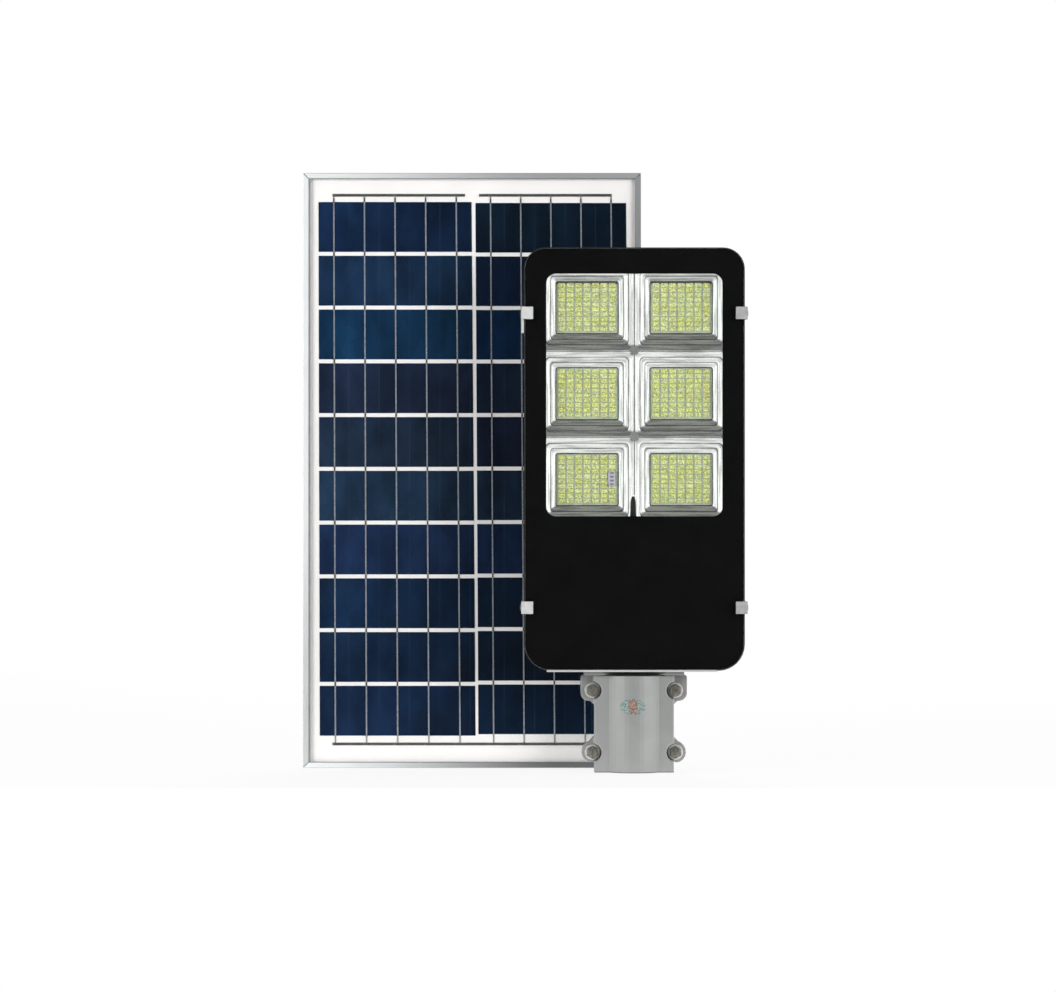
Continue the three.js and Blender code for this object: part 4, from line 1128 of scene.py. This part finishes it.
def make_label():
    """A plain oval foil label that follows the round front of the clamp, with a tinted middle."""
    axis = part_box("clamp_cap")[1].y + 0.3 * MM
    radius = 32 * MM
    centre = (LAMP_X - 1.5 * MM, 67.5 * MM)

    def bulge(share, power):
        """Pushes a round outline out towards a rectangle where the power is under 1."""
        return math.copysign(abs(share) ** power, share)

    def oval(half_x, half_z, lift, power=1.0):
        rings = []
        for share, rise in ((1.0, 0.0), (1.0, 0.9), (0.95, 1.0), (0.6, 1.0), (0.25, 1.0)):
            ring = []
            for angle in circle(40):
                x = centre[0] + half_x * share * bulge(math.cos(angle), power)
                reach = radius + 0.02 * MM + lift * rise
                y = axis - math.sqrt(reach ** 2 - (x - LAMP_X) ** 2)
                ring.append((x, y, centre[1] + half_z * share * bulge(math.sin(angle), power)))
            rings.append(ring)
        return loft(rings)

    shells = [oval(13 * MM, 8.2 * MM, 0.2 * MM), oval(4.4 * MM, 6.8 * MM, 0.32 * MM, 0.35)]
    tones = [(0.22, 0.29, 0.28), (0.29, 0.19, 0.16)]
    piece("oval_label", shells, "clip_metal", "clamp_cap", look=printed_foil, tones=tones)


# ---- clips

def make_clips():
    """Four clips, each with its screw, and a leaf below the left top one."""
    for number in range(1, 5):
        side = -1 if number % 2 else 1
        # The right clips get the darker copy of their metal: painted shade.
        look = clip_shaded if side > 0 else None
        cast(f"clip_{number}", f"glass_clip_{number}", "clip_metal", 0.35, 3, look)
        node = f"clip_screw_{number}"
        low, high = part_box(node)
        centre = middle(node)
        outer, tip = (high.x, low.x) if side > 0 else (low.x, high.x)
        seat = outer - side * 1.2 * MM
        length = abs(seat - tip)
        origin = (seat, centre.y, centre.z)
        profile = [(1.9 * MM, 0), (1.9 * MM, length - 1 * MM), (0.8 * MM, length)]
        shank = turned(profile, origin, (-side, 0, 0), 16)
        head = screw(origin, (side, 0, 0), 3.4 * MM, 1.15 * MM)
        piece(f"clip_screw_head_{number}", [head, shank], "bolt_steel", BODY_OF[node], (node,))
        if side < 0 and centre.z > OUTLINE_CENTRE[1]:
            make_clip_leaf(number)


def make_clip_leaf(number):
    """The leaf that hangs below one clip, beside the edge of the glass."""
    corner = (glass_low.x, FRONT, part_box(f"glass_clip_{number}")[0].z)
    leaf = block(corner, corner, (-3.5, 2.5, -14), (-1.0, 4.6, 0.5), 0.4)
    piece("clip_leaf", [leaf], "clip_metal", BODY_OF[f"glass_clip_{number}"])


# ---- stage

def make_floor():
    """A pale floor that glows a little, so that it stays near white."""
    bpy.ops.mesh.primitive_plane_add(size=2.4, location=(0.05, 0.92, -0.0006))
    floor = bpy.context.object
    floor.name = "floor"
    tree = Shader("pale_floor")
    diffuse = tree.add("BsdfDiffuse", {"Color": (0.9, 0.9, 0.9, 1)})
    glow = tree.add("Emission", {"Color": (1, 1, 1, 1), "Strength": 1.0})
    floor.data.materials.append(tree.close(tree.add("MixShader", {0: 0.86, 1: diffuse, 2: glow})))


def make_world():
    """White to the camera. As light, it is bright at both sides and behind, and dark round the camera."""
    tree = Shader("studio", bpy.data.worlds.new("studio"))
    direction = tree.add("TexCoord", out="Generated")
    depth = tree.axis(direction, "Y")
    sideways = tree.maths("ABSOLUTE", tree.axis(direction, "X"))
    side_light = tree.times(tree.spread(sideways, 0.0, 1.0, (0.45, 0.75)), 1.35)
    up_light = tree.spread(tree.axis(direction, "Z"), 1.0, 0.25, (-0.2, 0.4))
    behind = tree.spread(depth, 0.0, 0.8, (0.0, 0.6))
    level = tree.maths("MAXIMUM", tree.maths("MAXIMUM", up_light, behind), side_light)
    level = tree.times(level, tree.spread(depth, 0.03, 1.0, (-0.93, -0.80)))
    lit = tree.add("Background", {"Color": (0.98, 1.0, 0.99, 1), "Strength": level})
    plain = tree.add("Background", {"Color": (1, 1, 1, 1), "Strength": 1.0})
    seen = tree.add("LightPath", out="Is Camera Ray")
    shader = tree.add("MixShader", {0: seen, 1: lit, 2: plain})
    bpy.context.scene.world = tree.close(shader, "OutputWorld")


def make_lights():
    """Three soft lights, all aimed at the middle of the object."""
    target = Vector((0.06, 0, 0.28))
    for name, place, size, power in (
        ("soft_left", (-2.4, -2.6, 1.0), 1.6, 60), ("soft_right", (2.5, -2.6, 1.0), 1.6, 60),
        ("soft_back", (0.4, 2.6, 1.8), 2.0, 28),
    ):
        lamp = bpy.data.lights.new(name, "AREA")
        lamp.size = size
        lamp.energy = power
        holder = put(name, lamp)
        holder.location = place
        holder.visible_glossy = False
        holder.rotation_euler = (target - Vector(place)).to_track_quat("-Z", "Y").to_euler()


def make_camera():
    """The photograph's view: level, straight at the panel, from 4 m in front of it."""
    lens = bpy.data.cameras.new("camera")
    lens.sensor_width = 36
    lens.lens = 131.7
    camera = put("camera", lens)
    camera.location = (0.058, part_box("frame_left")[0].y - 4.0, 0.2815)
    camera.rotation_euler = (math.pi / 2, 0, 0)
    bpy.context.scene.camera = camera


make_camera()
make_frame()
make_seal()
for sheet in ("panel_glass", "backsheet"):
    refine(sheet, sheet, 0)
for string, _sign in SIDES:
    make_cells(string)
    make_ribbons(string)
make_bus_ribbons()
make_junction_box()
make_gland("panel_gland", "panel_cable_gland", (0, 0, -1))
make_bracket()
make_housing()
make_front_glass()
make_drip_edge()
make_reflector()
for board in range(1, 7):
    make_led_board(board)
make_terminal()
refine("ir_receiver", "black_plastic", 0.4)
refine("battery_pack", "shrink_wrap", 0.5)
refine("controller_board", "circuit", 0.3)
make_gland("lamp_gland", "lamp_cable_gland", BACKWARD)
cast("clamp_front", "clamp_cap", "grey_casting", 0.8, 2, clamp_cast)
cast("clamp_rear", "arm_saddle", "grey_casting", 0.8, 2, clamp_cast)
for bolt in range(1, 5):
    make_clamp_bolt(bolt)
make_label()
make_clips()
bpy.context.scene.view_settings.view_transform = "Standard"
make_floor()
make_world()
make_lights()

bpy.context.view_layer.update()
